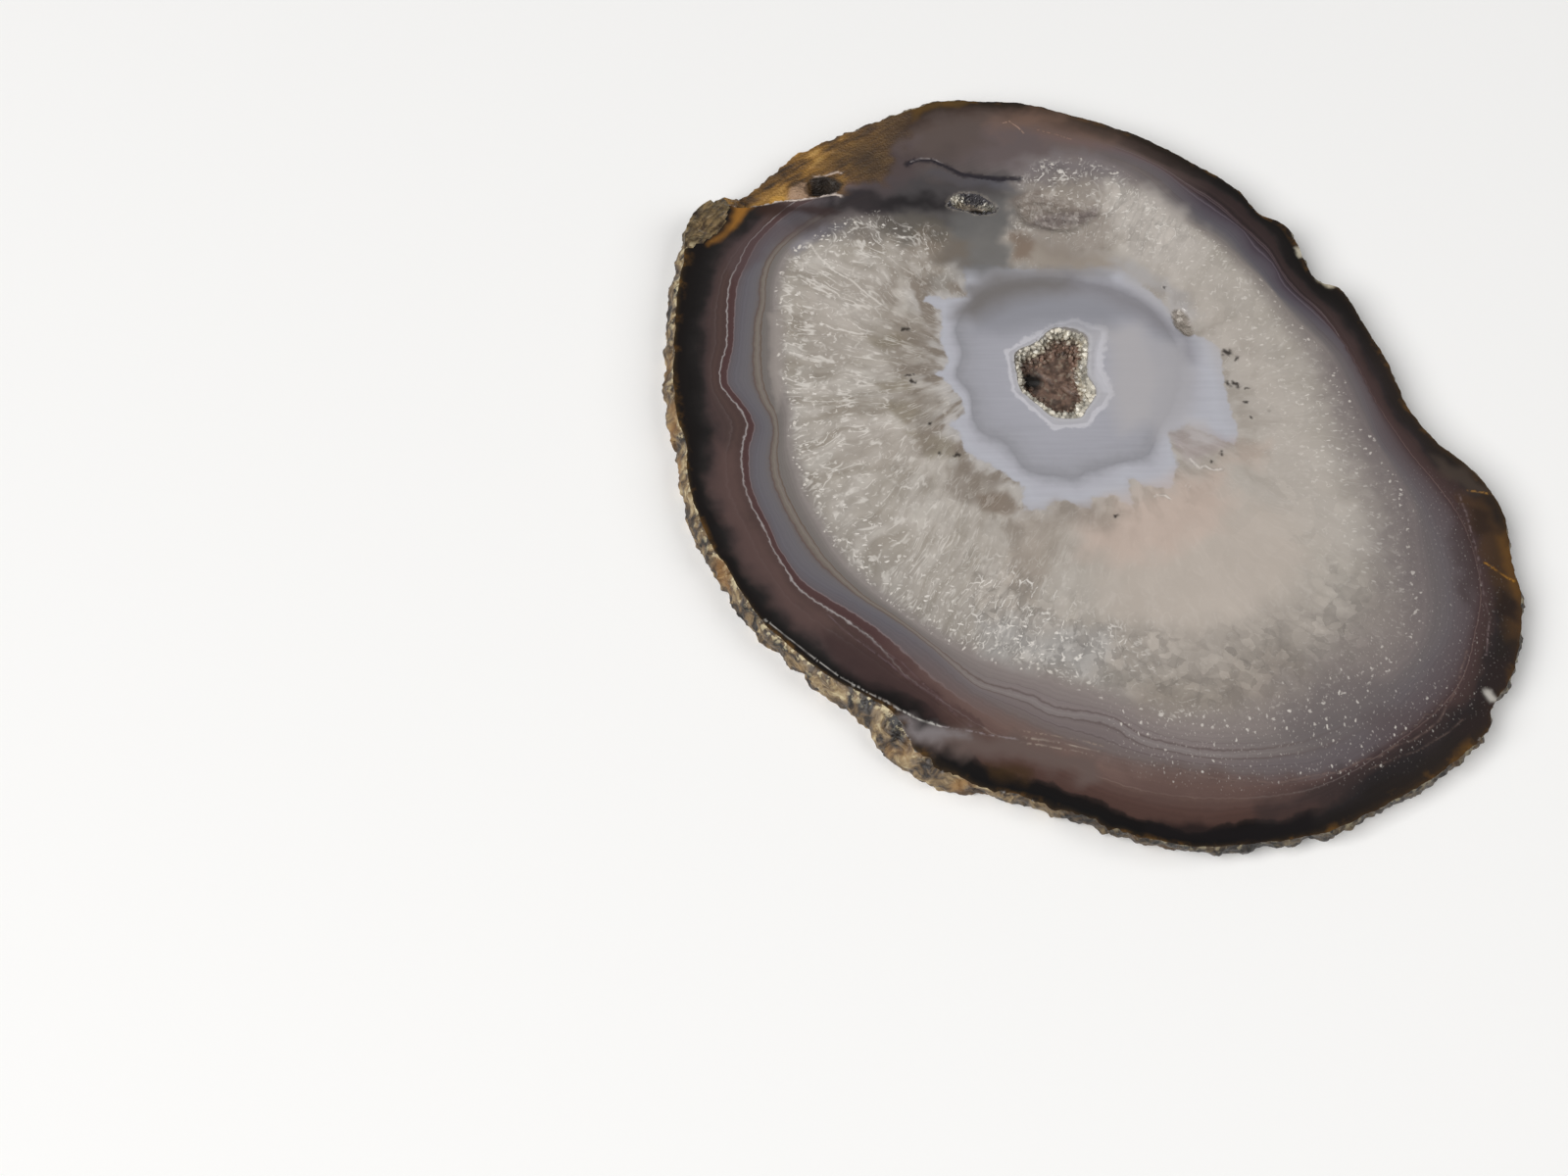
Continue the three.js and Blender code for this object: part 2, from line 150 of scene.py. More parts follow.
QUARTZ_EDGE = [
    [-41.5, 49], [-46, 45], [-49, 43.5], [-52, 39.5], [-53.5, 34.5], [-54, 29], [-53.5, 22.5],
    [-53.5, 17], [-53.5, 12.5], [-52.5, 8.5], [-51.5, 4.5], [-51.5, -2], [-50, -8.5],
    [-48.5, -14], [-45.5, -20.5], [-42, -27], [-35.5, -34], [-28.5, -40], [-21.5, -44.5],
    [-16, -47], [-9.5, -49], [1.5, -53.5], [12.5, -58], [23, -58.5], [30, -57.5], [37.5, -55],
    [43, -51.5], [49, -48], [54, -43], [56.5, -36.5], [57, -30], [57, -24], [57.5, -16],
    [55.5, -9], [52.5, -0.5], [50.5, 6], [49, 12], [46.5, 18.5], [41.5, 25.5], [37.5, 33],
    [33, 39], [29.5, 43.5], [24, 48], [18.5, 53.5], [13.5, 60], [7, 63.5], [0.5, 64],
    [-4, 64.5], [-7.5, 61], [-12, 58.5], [-17.5, 55], [-25, 52.5], [-33.5, 51],
]
CHALCEDONY_EDGE = [
    [-19, 38], [-18.5, 30.5], [-22.5, 30], [-26.5, 31.5], [-26.5, 29], [-23.5, 27],
    [-23.5, 22.5], [-24, 19.5], [-22.5, 16], [-23, 14], [-25.5, 13], [-23, 11], [-20.5, 7],
    [-20, 4.5], [-23, 2], [-21, -0.5], [-20.5, -4], [-17.5, -6], [-14, -8.5], [-10.5, -11.5],
    [-10.5, -16.5], [-6.5, -16.5], [-5, -15], [-3, -14.5], [-1.5, -15.5], [1.5, -16.5],
    [2, -14], [5.5, -13.5], [9, -16.5], [8.5, -9.5], [11, -11.5], [16, -12], [17.5, -7],
    [17, -3.5], [16.5, 0], [20, 1.5], [23, -0.5], [28, -3], [29, 0.5], [28, 5], [27.5, 11],
    [27.5, 18.5], [25, 21], [21, 22.5], [19, 27.5], [17, 30.5], [13, 35], [9.5, 38.5],
    [7.5, 38], [5, 37], [0.5, 37], [-9.5, 37], [-14.5, 38],
]
DARK_RING = [
    [-18.5, 27.3], [-20.5, 23], [-19.5, 17.5], [-20.8, 12.5], [-18.5, 8.3], [-18.3, 3.5], [-16.5, 0],
    [-12.8, -1.8], [-10.5, -5.8], [-9, -8], [-4.8, -8.8], [-1, -9.5], [1, -8], [6.3, -6.3],
    [11.8, -4.5], [14.8, 1.3], [17.3, 6.8], [19.3, 17.5], [17, 24.3], [13, 29.3], [6.3, 32.5],
    [-2.8, 34.5], [-12, 33], [-16.8, 29.8],
]
WHITE_RING = [
    [-11.3, 17.6], [-6.3, 20.6], [-1.8, 23.6], [1.5, 24.6], [3.5, 23.4], [6.5, 22.8], [4.7, 16.5],
    [4.7, 14], [6.5, 9], [5, 6], [3, 4.5], [2, 2], [-4, 1.5], [-7, 5], [-10.5, 9], [-11, 14],
]

# Soft patches of colour where the stone is stained, milky or clear, with painted shadow below the cleft's lip
# and a painted highlight on the facet's crest: outline, how soft its edge is, colour and strength
PATCHES = [
    [[[-8.5, 72.5], [-2.5, 77], [5, 74.5], [12.5, 69], [6.5, 65], [-3, 67.5]], 3, "#7b6053", 0.35],
    [[[-33, 66.5], [-21.5, 72.5], [-6.5, 72.5], [1, 66.5], [-7, 60.5], [-17.5, 63], [-25.5, 64]],
     2.5, "#665a59", 0.85],
    [[[-37, 58], [-26, 59.5], [-9, 59], [-7, 54.5], [-9.5, 46], [-17, 45], [-26.5, 46],
      [-33.5, 50.5]], 3, "#464344", 0.9],
    [[[-17.5, 53], [-7.5, 54.5], [-10, 43.5], [-9, 36.5], [-15.5, 34.5], [-23, 38], [-21.5, 46]],
     2.5, "#6b6967", 0.9],
    [[[-35.5, 50], [-22.5, 49], [-21, 43.5], [-28, 42.5], [-33.5, 45]], 2, "#5c564e", 0.8],
    # Painted shadow beneath the cleft's lip, dark on the face in front of it
    [[[-45, 55.5], [-41.75, 54.5], [-36.25, 55.5], [-29.5, 54.3], [-20.5, 53.8], [-20.5, 51.7],
      [-30, 50.8], [-39.25, 50.3], [-44, 51.7]], 1.8, "#201d1e", 0.85],
    [[[-37, 63.75], [-30.25, 67.25], [-25.75, 63.75], [-27.75, 58.75], [-35.25, 57.5], [-40, 58.5]],
     2.5, "#4b403b", 0.7],
    [[[-26.5, 45], [-18, 43.5], [-17.5, 38], [-24.5, 37.5], [-28.5, 41.5]], 2, "#75685a", 0.6],
    [[[-10, 43.5], [-6, 45], [3, 40], [10, 38.8], [11, 36.5], [5, 35.5], [-5, 36], [-9, 38]],
     1.6, "#978c80", 0.75],
    [[[-9.5, 45], [-7.5, 46.5], [-5, 43.5], [-6.5, 39.5], [-9, 39.5]], 1, "#7d6a5b", 0.75],
    [[[9.5, 58], [20.5, 54.5], [27, 42.5], [20.5, 33], [12, 39.5], [9, 49.5]], 3, "#c3bbb3", 0.7],
    [[[14, 33], [26, 31], [35, 17.5], [40, 2.5], [44, -12], [44, -25], [36, -20], [31, -6],
      [30.7, 8.7], [25, 22]], 4, "#bbb2a9", 0.65],
    [[[5, -50.5], [13, -48.5], [23.5, -44.5], [32, -42.5], [34.5, -47], [29, -53], [19, -56], [9, -55.5]],
     3, "#8f8479", 0.6],
    [[[6, 24], [13, 24], [17, 13], [14, 3], [8, 0], [6.5, 8], [7.5, 15]], 2.5, "#b3afb0", 0.8],
    [[[5, -15], [22, -11], [36, -17], [38, -27], [32, -38], [16, -44], [3, -37], [2, -24]],
     5, "#bfb3a8", 0.7],
    [[[-12, -18], [-5, -15], [-3, -19], [-5, -28], [-10.5, -33], [-15, -30]], 3, "#9a8d81", 0.55],
    [[[-49, 33], [-40.5, 37.5], [-30.5, 34], [-33, 26], [-40.5, 14], [-47.5, 17]], 3, "#bbb2a9", 0.5],
    [[[-45, 0], [-37.5, 3], [-27.5, 0.5], [-27, -5.5], [-33, -7.5], [-42, -6.5]], 2, "#bbb2a9", 0.45],
    [[[-32.5, 24.5], [-28.5, 28], [-25.5, 24.5], [-25.5, 18], [-27.5, 11], [-26, 3], [-29, 3],
      [-31.5, 13]], 1.8, "#82776b", 0.5],
    [[[-24, -7], [-21, -5.5], [-14.5, -10], [-14, -15], [-20.5, -15.5], [-23.5, -11.5]], 1.2, "#7c7166", 0.6],
    [[[28, -48], [40, -40], [50, -32], [53, -41.5], [45, -56], [30, -60], [20.5, -57]],
     5, "#877d78", 0.5],
    [[[-18.5, -32], [-2.5, -39.5], [22.5, -39.5], [40, -32], [40.5, -41.5], [21, -50.5],
      [-3, -49], [-17.5, -41.5]], 4, "#a49b92", 0.7],
    [[[-19, -37.5], [2.5, -41.5], [0, -49], [-17.5, -45]], 3, "#a9a6a3", 0.65],
    [[[-37, 21], [-31.5, 22], [-28, 19.5], [-33.5, 18]], 1, "#857b6b", 0.8],
    [[[-36.5, 10.5], [-30, 12], [-28.5, 9], [-34.5, 8.5]], 1, "#857b6b", 0.8],
    [[[-34.5, 5.5], [-29.5, 7], [-26, 3.5], [-30.5, 2]], 1, "#857b6b", 0.8],
    [[[-30.5, 0.5], [-23.5, -0.5], [-20, -5], [-26, -6]], 1, "#857b6b", 0.8],
    [[[-18.5, -13], [-12.5, -12], [-11, -16], [-14, -17.5], [-18, -16.5]], 0.8, "#7d6f62", 0.85],
    [[[-62.75, 39.75], [-57.75, 46.75], [-52.25, 48], [-43, 48.25], [-44.75, 46], [-52.25, 43.5],
      [-56.75, 39.75], [-60.75, 33.25]], 1.5, "#5b4c4d", 0.5],
    # Painted shadow below the left part of the cleft's lip
    [[[-57.75, 51.5], [-54, 52.25], [-50, 51.75], [-46.5, 52.5], [-42.75, 52], [-41.5, 50.5],
      [-44.25, 49], [-49.25, 50.5], [-52.25, 49.5], [-56.75, 49.5]], 0.9, "#3a2822", 0.85],
    [[[65.5, -13], [70, -13.5], [72, -20], [73.5, -33], [73, -41], [69.5, -42], [68.5, -33],
      [68, -22]], 1.2, "#4a3522", 0.7],
    [[[71.2, -22], [73, -21], [74, -33], [72.8, -35], [71.5, -30]], 0.9, "#7a5424", 0.4],
    [[[67, -15.5], [70.5, -16.5], [70.5, -21], [67.5, -22]], 0.9, "#2c211c", 0.7],
    [[[69.5, -32], [72.5, -34.5], [71.5, -38.5], [68.5, -37.5]], 0.8, "#241c1a", 0.8],
    [[[66.5, -45], [71.5, -43], [69, -50], [66, -55.5], [60, -61], [57.5, -60], [62.5, -53.5]],
     1.6, "#2c2221", 0.7],
    [[[62, -5], [67.5, -7], [71.5, -12.5], [67.5, -12.5], [64, -9]], 1, "#4b4038", 0.7],
    [[[-33, -57], [-26.25, -58.3], [-13.5, -60.8], [-1, -64], [-1.25, -68.5], [-5.75, -66.75],
      [-10.5, -65.25], [-14.5, -64], [-18.5, -63.5], [-22.5, -63.6], [-25.5, -63], [-29.5, -60.5]],
     1.6, "#63544f", 0.95],
    # Painted highlight: a pale sheen where the facet's crest starts
    [[[-33.5, -56.5], [-26.25, -58.1], [-22.5, -60.5], [-26.5, -61], [-30.5, -59.5]], 1.4, "#827c7d", 0.8],
    [[[-18.5, -64.8], [-14.25, -65.3], [-12.25, -66], [-11.5, -67], [-13, -67.8],
      [-15.75, -67.2], [-18, -66.3]], 1.2, "#3e2c18", 0.8],
    [[[-55, 26.75], [-52.25, 26.75], [-52.25, 8.75], [-53.5, 4.5], [-54.5, 13.25]], 0.6, "#a39a93", 0.5],
    [[[-39, 56.75], [-34.75, 57.75], [-31, 60], [-31.75, 64], [-29, 66.5], [-25.75, 62.75],
      [-26.75, 58], [-32.5, 55.5], [-37.25, 54.5]], 2, "#54494a", 0.7],
    [[[-24, 61], [-19, 60], [-15, 58.8], [-9, 57.6], [-9, 56.2], [-17, 56.8], [-21, 58], [-24.5, 59.5]],
     1, "#5d5c63", 0.7],
    [[[-27.5, 71.5], [-17.75, 74.5], [-12, 74.5], [-14.25, 66.5], [-22, 62.75], [-27.5, 64]],
     2.5, "#5b4f49", 0.7],
    [[[-28.25, 75], [-24.5, 78], [-15.5, 79.8], [-15.8, 77.8], [-20.5, 76.6], [-24.5, 75.2],
      [-27.4, 73]], 0.8, "#5f4725", 0.75],
    [[[-29.8, 76], [-28.2, 75.5], [-28, 71.5], [-30, 71]], 1, "#2c241c", 0.6],
    [[[-62.5, 52.25], [-58.3, 52.25], [-59, 50], [-61.3, 47], [-64, 43.8], [-66.5, 41.8],
      [-66.5, 42.5], [-63.5, 45.25], [-62.25, 49]], 1, "#9a692c", 0.9],
    [[[-49.5, 39.5], [-47.5, 42.5], [-44.5, 44.5], [-40, 47], [-39.5, 48.5], [-44, 47], [-48, 45.5],
      [-51, 42]], 1, "#85828a", 0.6],
    [[[24, -75], [40, -70.5], [52, -63.5], [61, -56], [59, -54], [50, -60], [38, -67], [25, -71.5]],
     1.6, "#262324", 0.55],
    [[[-5.5, 62], [2.5, 63], [8.5, 58.5], [10.5, 47], [8.5, 40], [0.5, 38.5], [-7.5, 44.5], [-7, 52.5]],
     3, "#83776e", 0.5],
    # Painted shadow, fainter, spreading below the cleft's lip
    [[[-54, 51.5], [-44.5, 53.5], [-33, 54.5], [-30, 47], [-38, 43.5], [-48.5, 45]], 2.5, "#3a3336", 0.45],
    [[[-28.5, 63], [-20, 66], [-13.5, 62.5], [-14.5, 57], [-24, 57.5]], 2.5, "#4c4340", 0.45],
    [[[65, -16], [68, -24], [65.5, -36], [63, -34.5], [63, -24]], 1.6, "#3c2f2d", 0.5],
    [[[-18.5, 32], [-13, 36], [-5, 37.2], [3, 37.2], [9, 36], [8, 34], [2, 35], [-5, 35], [-12, 33.5],
      [-17, 30.5]], 1.2, "#8d8b8d", 0.6],
    [[[-17.75, 27], [-13, 30], [-7.25, 31.5], [0, 31.5], [6.25, 30.25], [11.25, 27], [7.25, 23],
      [0.25, 24], [-6.25, 23], [-12.75, 21.5], [-17, 22.5]], 3, "#8a8a90", 0.75],
    [[[-20.5, 26], [-18.25, 31.5], [-12.25, 35], [-5, 35.8], [2, 35.2], [2, 31.5], [-7, 30.5],
      [-12, 28.5], [-17, 25]], 2.8, "#736e6b", 0.9],
    [[[1, 35.2], [8, 33.2], [14, 29.5], [19, 25.5], [22.5, 20.5], [22.5, 16], [20.5, 16], [20, 20],
      [16, 23], [11, 27], [6.25, 30], [1, 31.3]], 2.6, "#838084", 0.75],
    [[[15, 20], [20, 19], [22.5, 13], [21, 5], [17.5, -1], [14, -2], [13.5, 3], [15.5, 11]],
     2, "#adaaad", 0.75],
    [[[9.5, 38.5], [13, 39], [19.5, 33], [24.5, 26.5], [22, 24], [17.5, 29.5], [11.5, 34]],
     1.6, "#aca8a7", 0.75],
    [[[-1, -17], [7, -14.5], [18, -9], [25, -8.5], [25.5, -16], [18, -23], [9, -27], [-1, -25.5]],
     3.5, "#c6b0a3", 0.6],
    [[[28, -1.75], [33.75, -2], [32, -7.25], [25, -6.5]], 2, "#bda99c", 0.5],
    [[[16.75, -0.5], [19, 1.25], [22.5, 1.25], [27.75, -2], [25.25, -3.75], [21, -6], [19, -6]],
     1.2, "#a49797", 0.6],
    [[[-64, -2], [-61, -4], [-59.5, -12], [-57, -20], [-53, -28], [-48, -35], [-44, -39], [-46, -41.5],
      [-51, -38], [-56, -32], [-60, -25], [-63, -17], [-64.5, -8]], 1.8, "#614c48", 0.6],
    [[[-46, -40], [-40, -42], [-34, -46], [-28, -51], [-24.5, -56], [-28, -56], [-33, -53],
      [-39, -49], [-45, -44.5]], 1.6, "#402f2e", 0.65],
    [[[31, -53], [38, -50], [46, -48], [50, -52], [44, -59], [36, -62], [30, -60]], 3, "#5f585a", 0.45],
    [[[2, -66], [19, -67], [30, -68], [36, -67], [29, -72], [6.5, -71.5]], 2, "#5a4641", 0.5],
    [[[3.5, 23.2], [6.5, 22.7], [4.5, 18], [4, 12], [5.2, 8.7], [6.7, 8.5], [5.2, 13.2], [5.7, 18.5],
      [7, 22.2]], 0.5, "#c5c3c8", 0.7],
    [[[-8.5, 54.25], [-7.25, 55.5], [-4.25, 56], [-1.75, 55.25], [1, 53.5], [3.75, 52.75], [7, 52.25],
      [8, 51.5], [6.75, 49.5], [3.25, 47.25], [-0.5, 46.25], [-3.75, 45.75], [-6.25, 47.5], [-8, 50]],
     1, "#776b63", 0.9],
    [[[-4, 50], [1, 51], [6, 52], [8, 51.3], [6.5, 49.3], [3, 47.3], [-0.5, 46.5], [-4.5, 46.5],
      [-6, 48]], 0.9, "#65595a", 0.85],
    [[[-8, 62], [0, 65], [8, 64], [14, 60], [12, 57.5], [2, 58.5], [-8, 57.5]], 2.5, "#7b7374", 0.85],
    [[[-25.5, 35], [-21, 36], [-20, 32], [-23, 30.5], [-26, 32]], 1.2, "#827c74", 0.6],
    [[[-28, 8], [-24.5, 8], [-23.5, 3], [-25, -1], [-28, 0]], 1.4, "#82796f", 0.55],
    [[[-5, -15], [2, -14.5], [8, -17], [4, -20.5], [-4, -19.5]], 1.6, "#968b81", 0.55],
    [[[19.5, 3], [23, 2.5], [24.5, -1.5], [20, -3]], 1.5, "#bab5b4", 0.6],
    [[[-2, 76.5], [8, 73.8], [15, 69.5], [11, 68.8], [3, 71], [-2, 72.5]], 1.6, "#41372f", 0.45],
    [[[43, -57], [49, -53.5], [52, -56], [46, -61]], 2, "#564b4c", 0.5],
    [[[-13, 73], [-5, 76.5], [2, 74.8], [2, 72.8], [-4, 70.8], [-11, 69.5]], 2, "#7c6254", 0.45],
    [[[6, -75], [12, -75.6], [20, -76.2], [26, -76], [33, -73.5], [33, -76], [24, -79], [12, -78.6],
      [5, -77.4]], 0.8, "#161213", 0.8],
]

# Small spots over them, with firm edges: the hole in the cleft, painted near black as shade, the lump
# beside it, the amber lip, the brown of the lobe and the pale chips of the edge
SPOTS = [
    # Painted shade: the hole in the cleft, near black
    [[[-47, 59.3], [-45, 60], [-42.2, 59.2], [-40.6, 57.6], [-41.2, 55.6], [-44, 54.8], [-46.8, 55]],
     0.5, "#1c1715", 0.95],
    [[[-51.75, 55.3], [-51, 57.5], [-49, 58.9], [-47.2, 58], [-46.8, 55.2], [-48.75, 54.1],
      [-51, 54]], 0.6, "#a5876e", 0.9],
    [[[-55, 53.6], [-52.5, 54], [-51, 54.4], [-52, 56], [-54.5, 55.5]], 0.6, "#c8963f", 0.7],
    [[[-40.5, 63], [-36.5, 67], [-33.5, 65], [-32.5, 60], [-38, 58.3]], 2, "#403020", 0.7],
    [[[-46.5, 63], [-43, 65.5], [-38, 69], [-35, 67.5], [-38, 63.5], [-43, 61.5]], 1.6, "#4a3722", 0.5],
    [[[43.6, 42], [45.2, 41.4], [45.2, 39.8], [44, 39.6]], 0.4, "#c4bca8", 0.9],
    [[[46.6, 36], [48.4, 34.8], [50, 32.6], [48.8, 32], [47, 34]], 0.4, "#bdb39c", 0.9],
    [[[64, -51.2], [65.6, -51.6], [66.6, -53.4], [65, -53.4]], 0.4, "#b9b4ac", 0.95],
]

# Thin lines: the lips of the cleft, healed cracks, the worn crest of the facet with its scratches brightened
# by a painted highlight, veins in the quartz and faint growth lines, each with its width, colour and
# strength.
# The narrow ones are patchy.
PATCHY_BELOW = 0.4
THIN_LINES = [
    [[[-58.75, 51.9], [-55.75, 52.3], [-52.25, 53.2], [-49.25, 53.4], [-46.25, 53.9],
      [-43.75, 54.5], [-42.5, 54.9], [-41.25, 54.25]], 0.5, "#e2d2c7", 1.0],
    [[[-46.5, 60.2], [-44.75, 59.9], [-43.25, 60.4], [-41.75, 60.7], [-40.8, 60.2]],
     0.4, "#cdb9ab", 0.95],
    [[[-28.5, 62], [-26.75, 63], [-23.75, 63], [-21, 61.5], [-18.25, 59.75], [-14.5, 58.75],
      [-11, 58.25], [-7, 58.5]], 1, "#28242a", 0.9],
    [[[-27.75, 62.6], [-25.75, 63.6], [-23.5, 63.6], [-21.75, 62.4]], 0.25, "#a39a98", 0.7],
    [[[-9.75, 72.5], [-8.25, 73], [-6.75, 71.5], [-5.5, 69.75]], 0.2, "#c9a58f", 0.8],
    [[[-2.75, 70.75], [1, 69.5], [3.75, 68.25]], 0.2, "#b58f7c", 0.5],
    [[[-47.25, 42.75], [-45.75, 39.75], [-43, 36.5], [-39.75, 34.25], [-36.75, 31], [-34, 28.25]],
     0.4, "#ddd6cd", 0.8],
    [[[-33, 39.75], [-29.25, 36.5], [-25.75, 33.25]], 0.3, "#d5cdc3", 0.6],
    [[[-41.25, 31], [-35, 27.5], [-31.5, 26.75]], 0.3, "#ddd6cd", 0.7],
    # Painted highlight along the worn crest of the facet, broken where the lines are narrow
    [[[-55.3, -38.1], [-51.4, -41.6], [-46.9, -45.6], [-43, -48.9], [-38.3, -51.9], [-35.4, -53.6]],
     0.15, "#d8d3cc", 0.8],
    [[[-35.4, -53.6], [-33.3, -55], [-30.4, -56.7], [-26.2, -58.2]], 0.3, "#d8d3cc", 0.8],
    [[[-26.2, -58.2], [-21, -59.2], [-13.5, -60.7]], 0.25, "#a3989a", 0.65],
    [[[-41, -39.5], [-36.5, -43.5], [-31.5, -49], [-26, -53.5], [-20, -58]], 1.1, "#4f3b39", 0.6],
    [[[-44.7, -37.2], [-40.5, -41.5], [-36.7, -44.7], [-31.7, -49], [-27, -53]], 0.2, "#77656a", 0.6],
    [[[-37.2, -42.5], [-32.7, -46], [-28.5, -50.7], [-24.2, -55.5], [-21.5, -58.2]], 0.2, "#705d60", 0.6],
    [[[-13.5, -59], [-10.25, -59.5], [-6.25, -60.25], [-3.25, -60.75], [0.5, -62]], 0.2, "#b7a38f", 0.45],
    [[[-13.5, -61.25], [-10.5, -61.5], [-7.25, -62.25], [-4, -62.75], [-1, -63.75]], 0.2,
     "#c2b2a2", 0.45],
    [[[-12.75, -60.25], [-9.5, -60.75], [-5.5, -61.5], [-0.75, -62.75]], 0.2, "#cfc1b0", 0.5],
    [[[-44.25, 66.25], [-40.75, 65.75], [-37, 64]], 0.4, "#b88f50", 0.3],
    [[[12.5, -13.5], [13.25, -13], [14.5, -13], [15.5, -14]], 0.35, "#e6e0d8", 0.8],
    [[[18.25, -11.5], [18.75, -10.5], [19.25, -11.25], [18.75, -12]], 0.3, "#ded6cd", 0.7],
    [[[19.5, -5.5], [20.25, -6.5], [21, -7.5], [22, -7], [22.75, -7.75], [23.75, -8], [25, -7.75]],
     0.4, "#dcd5ce", 0.7],
    [[[67.5, -12.2], [69.5, -12.4], [71.8, -13]], 0.3, "#a77a3c", 0.9],
    [[[68.3, -27], [70, -28.6], [71.6, -30], [73, -30.8]], 0.35, "#a9772e", 0.95],
    [[[66, -13], [66.8, -19], [67.3, -26], [67, -32], [67.3, -38], [65.5, -45]], 0.3, "#7d6c6c", 0.7],
    [[[8.5, -65], [18, -67.75], [24.25, -68.2], [29, -68.4], [34, -67], [38.25, -66.5], [41.75, -64.5],
      [45, -63.75], [47.75, -61.75], [51, -60.75], [53.5, -59], [56, -57], [57.5, -54.5],
      [59.75, -51.25], [61, -47.5], [62.5, -44]], 0.35, "#75625b", 0.6],
    [[[43.5, -65.75], [46.25, -64.5], [49.25, -63.5], [52, -62.5], [54.75, -60.75], [57.25, -59.25],
      [59.75, -57]], 0.3, "#66564f", 0.55],
    [[[49, -59.75], [52, -58], [53.75, -56], [55, -56.25], [57.25, -53]], 0.3, "#66564f", 0.5],
]

# Small dark pits and cracks beside the milky middle: x, y, length, width and turn
MARKS = [
    (-30, 22.75, 1.6, 0.5, 0.1), (-29.5, 12.6, 2, 0.5, 0.15), (-29, 11.2, 1.3, 0.7, -0.4),
    (-26.25, 2, 0.7, 0.5, 0.8), (-24.6, -4.4, 0.9, 0.7, -0.5), (-21.8, -4.8, 1.6, 0.6, 0.2),
    (28.6, 17.6, 2, 1.4, 0.3), (30.2, 16.2, 1.2, 0.6, 0.9), (28.9, 10.6, 2.6, 1.2, -0.2),
    (31, 9.6, 1.4, 0.4, 0.3), (30.6, 6.6, 1, 0.7, 0.6), (31.4, 3.4, 0.6, 0.6, 0),
    (18.25, 32.5, 0.6, 0.6, 0), (25.2, -4.4, 1.2, 0.5, 1.5), (23.4, -6.1, 0.7, 0.5, 0.6),
    (5.6, -17.6, 1.2, 0.6, -0.8), (34.5, 4.6, 0.5, 0.4, 0),
]

# Parts of the stone where one kind of mark is thicker or thinner: specks, calm clear quartz, sparkle,
# flat facets, the ochre side of the lobe and the skin of the knob
SPECKLED = [[0, -54], [13, -55], [26, -54], [38, -48], [48, -36], [53, -24], [55, -8], [62, -9],
            [67, -18], [69, -30], [68, -46], [62, -55], [52, -62], [40, -68], [28, -69], [14, -68],
            [3, -64]]
CALM = [[-3, -20], [22, -12], [36, -18], [36, -32], [18, -42], [-3, -35]]
CALM_BEYOND = [[-9, 41], [6, 31], [18, 33], [14, 40], [3, 41], [-4, 46]]
SPARKLING = [
    ([[-21, -24], [-8, -29], [0, -37], [10, -39], [8, -46], [-4, -51], [-24, -45]], -4, 4),
    ([[-8, 65], [8, 66], [20, 58], [26, 44], [14, 39], [8, 48], [9, 56], [-8, 58]], -2, 2),
    ([[-8.5, 49], [-6.2, 46.5], [2.2, 45.7], [8.5, 48.5], [5.5, 44.5], [2.2, 42.6], [-4.2, 43],
      [-8.7, 47]], -1, 1),
]
FACETED = [[-19, -27], [0, -37], [14, -42], [36, -36], [42, -26], [50, -32], [46, -48], [28, -56],
           [6, -54], [-22, -46]]
OCHRE_SIDE = [[-46, 54], [-41, 55.3], [-39, 56.75], [-34.75, 57.75], [-31, 60], [-31.75, 64], [-29, 69],
              [-27.5, 73.5], [-28, 90], [-75, 90], [-75, 40], [-46, 40]]
KNOB_SKIN = [[-76, 40.5], [-76, 58], [-64, 58], [-62.5, 53.5], [-62.25, 49.75], [-63.5, 46], [-66.5, 43.25],
             [-69, 41.75], [-71.25, 40.5]]


# A closed smooth line through the rows, with its points evenly spaced
def smooth_loop(rows, count):
    rows = np.array(rows, float)
    before, after, beyond = np.roll(rows, 1, 0), np.roll(rows, -1, 0), np.roll(rows, -2, 0)
    dense = []
    for t in np.arange(0, 1, 1 / 16):
        dense.append(0.5 * (2 * rows + (after - before) * t
                            + (2 * before - 5 * rows + 4 * after - beyond) * t * t
                            + (3 * rows - before - 3 * after + beyond) * t ** 3))
    dense = np.stack(dense, 1).reshape(-1, rows.shape[1])
    dense = np.vstack([dense, dense[:1]])
    travelled = np.concatenate([[0], np.cumsum(np.hypot(*np.diff(dense[:, :2], axis=0).T))])
    places = np.linspace(0, travelled[-1], count, endpoint=False)
    return np.stack([np.interp(places, travelled, column) for column in dense.T], 1)


# How far each point lies inside an outline, less than nothing where it is outside; or how far it is
# from a line that isn't closed. The points go through in lots, to spare the memory.
def inside_by(outline, points, closed=True, lot=4000):
    start = np.asarray(outline, float)[:, :2]
    side = np.roll(start, -1, 0) - start
    if not closed:
        start, side = start[:-1], side[:-1]
    square = (side ** 2).sum(1) + 1e-12
    found = []
    for first in range(0, len(points), lot):
        place = points[first:first + lot, None, :2]
        away = place - start
        share = np.clip((away * side).sum(2) / square, 0, 1)
        gap = np.hypot(*(away - share[..., None] * side).transpose(2, 0, 1)).min(1)
        if not closed:
            found.append(gap)
            continue
        above = start[:, 1] > place[..., 1]
        next_above = start[:, 1] + side[:, 1] > place[..., 1]
        rise = np.where(side[:, 1] == 0, 1e-12, side[:, 1])
        crossing = start[:, 0] + side[:, 0] * (place[..., 1] - start[:, 1]) / rise
        inside = ((above != next_above) & (place[..., 0] < crossing)).sum(1) % 2
        found.append(np.where(inside == 1, gap, -gap))
    return np.concatenate(found)


# Smooth noise of a given wave length, about -0.5 to 0.5
def wave(points, length, shift=0.0):
    return np.array([noise.noise(Vector(p) / length + Vector((shift, 4.7, 7.9)))
                     for p in np.asarray(points, float).tolist()])


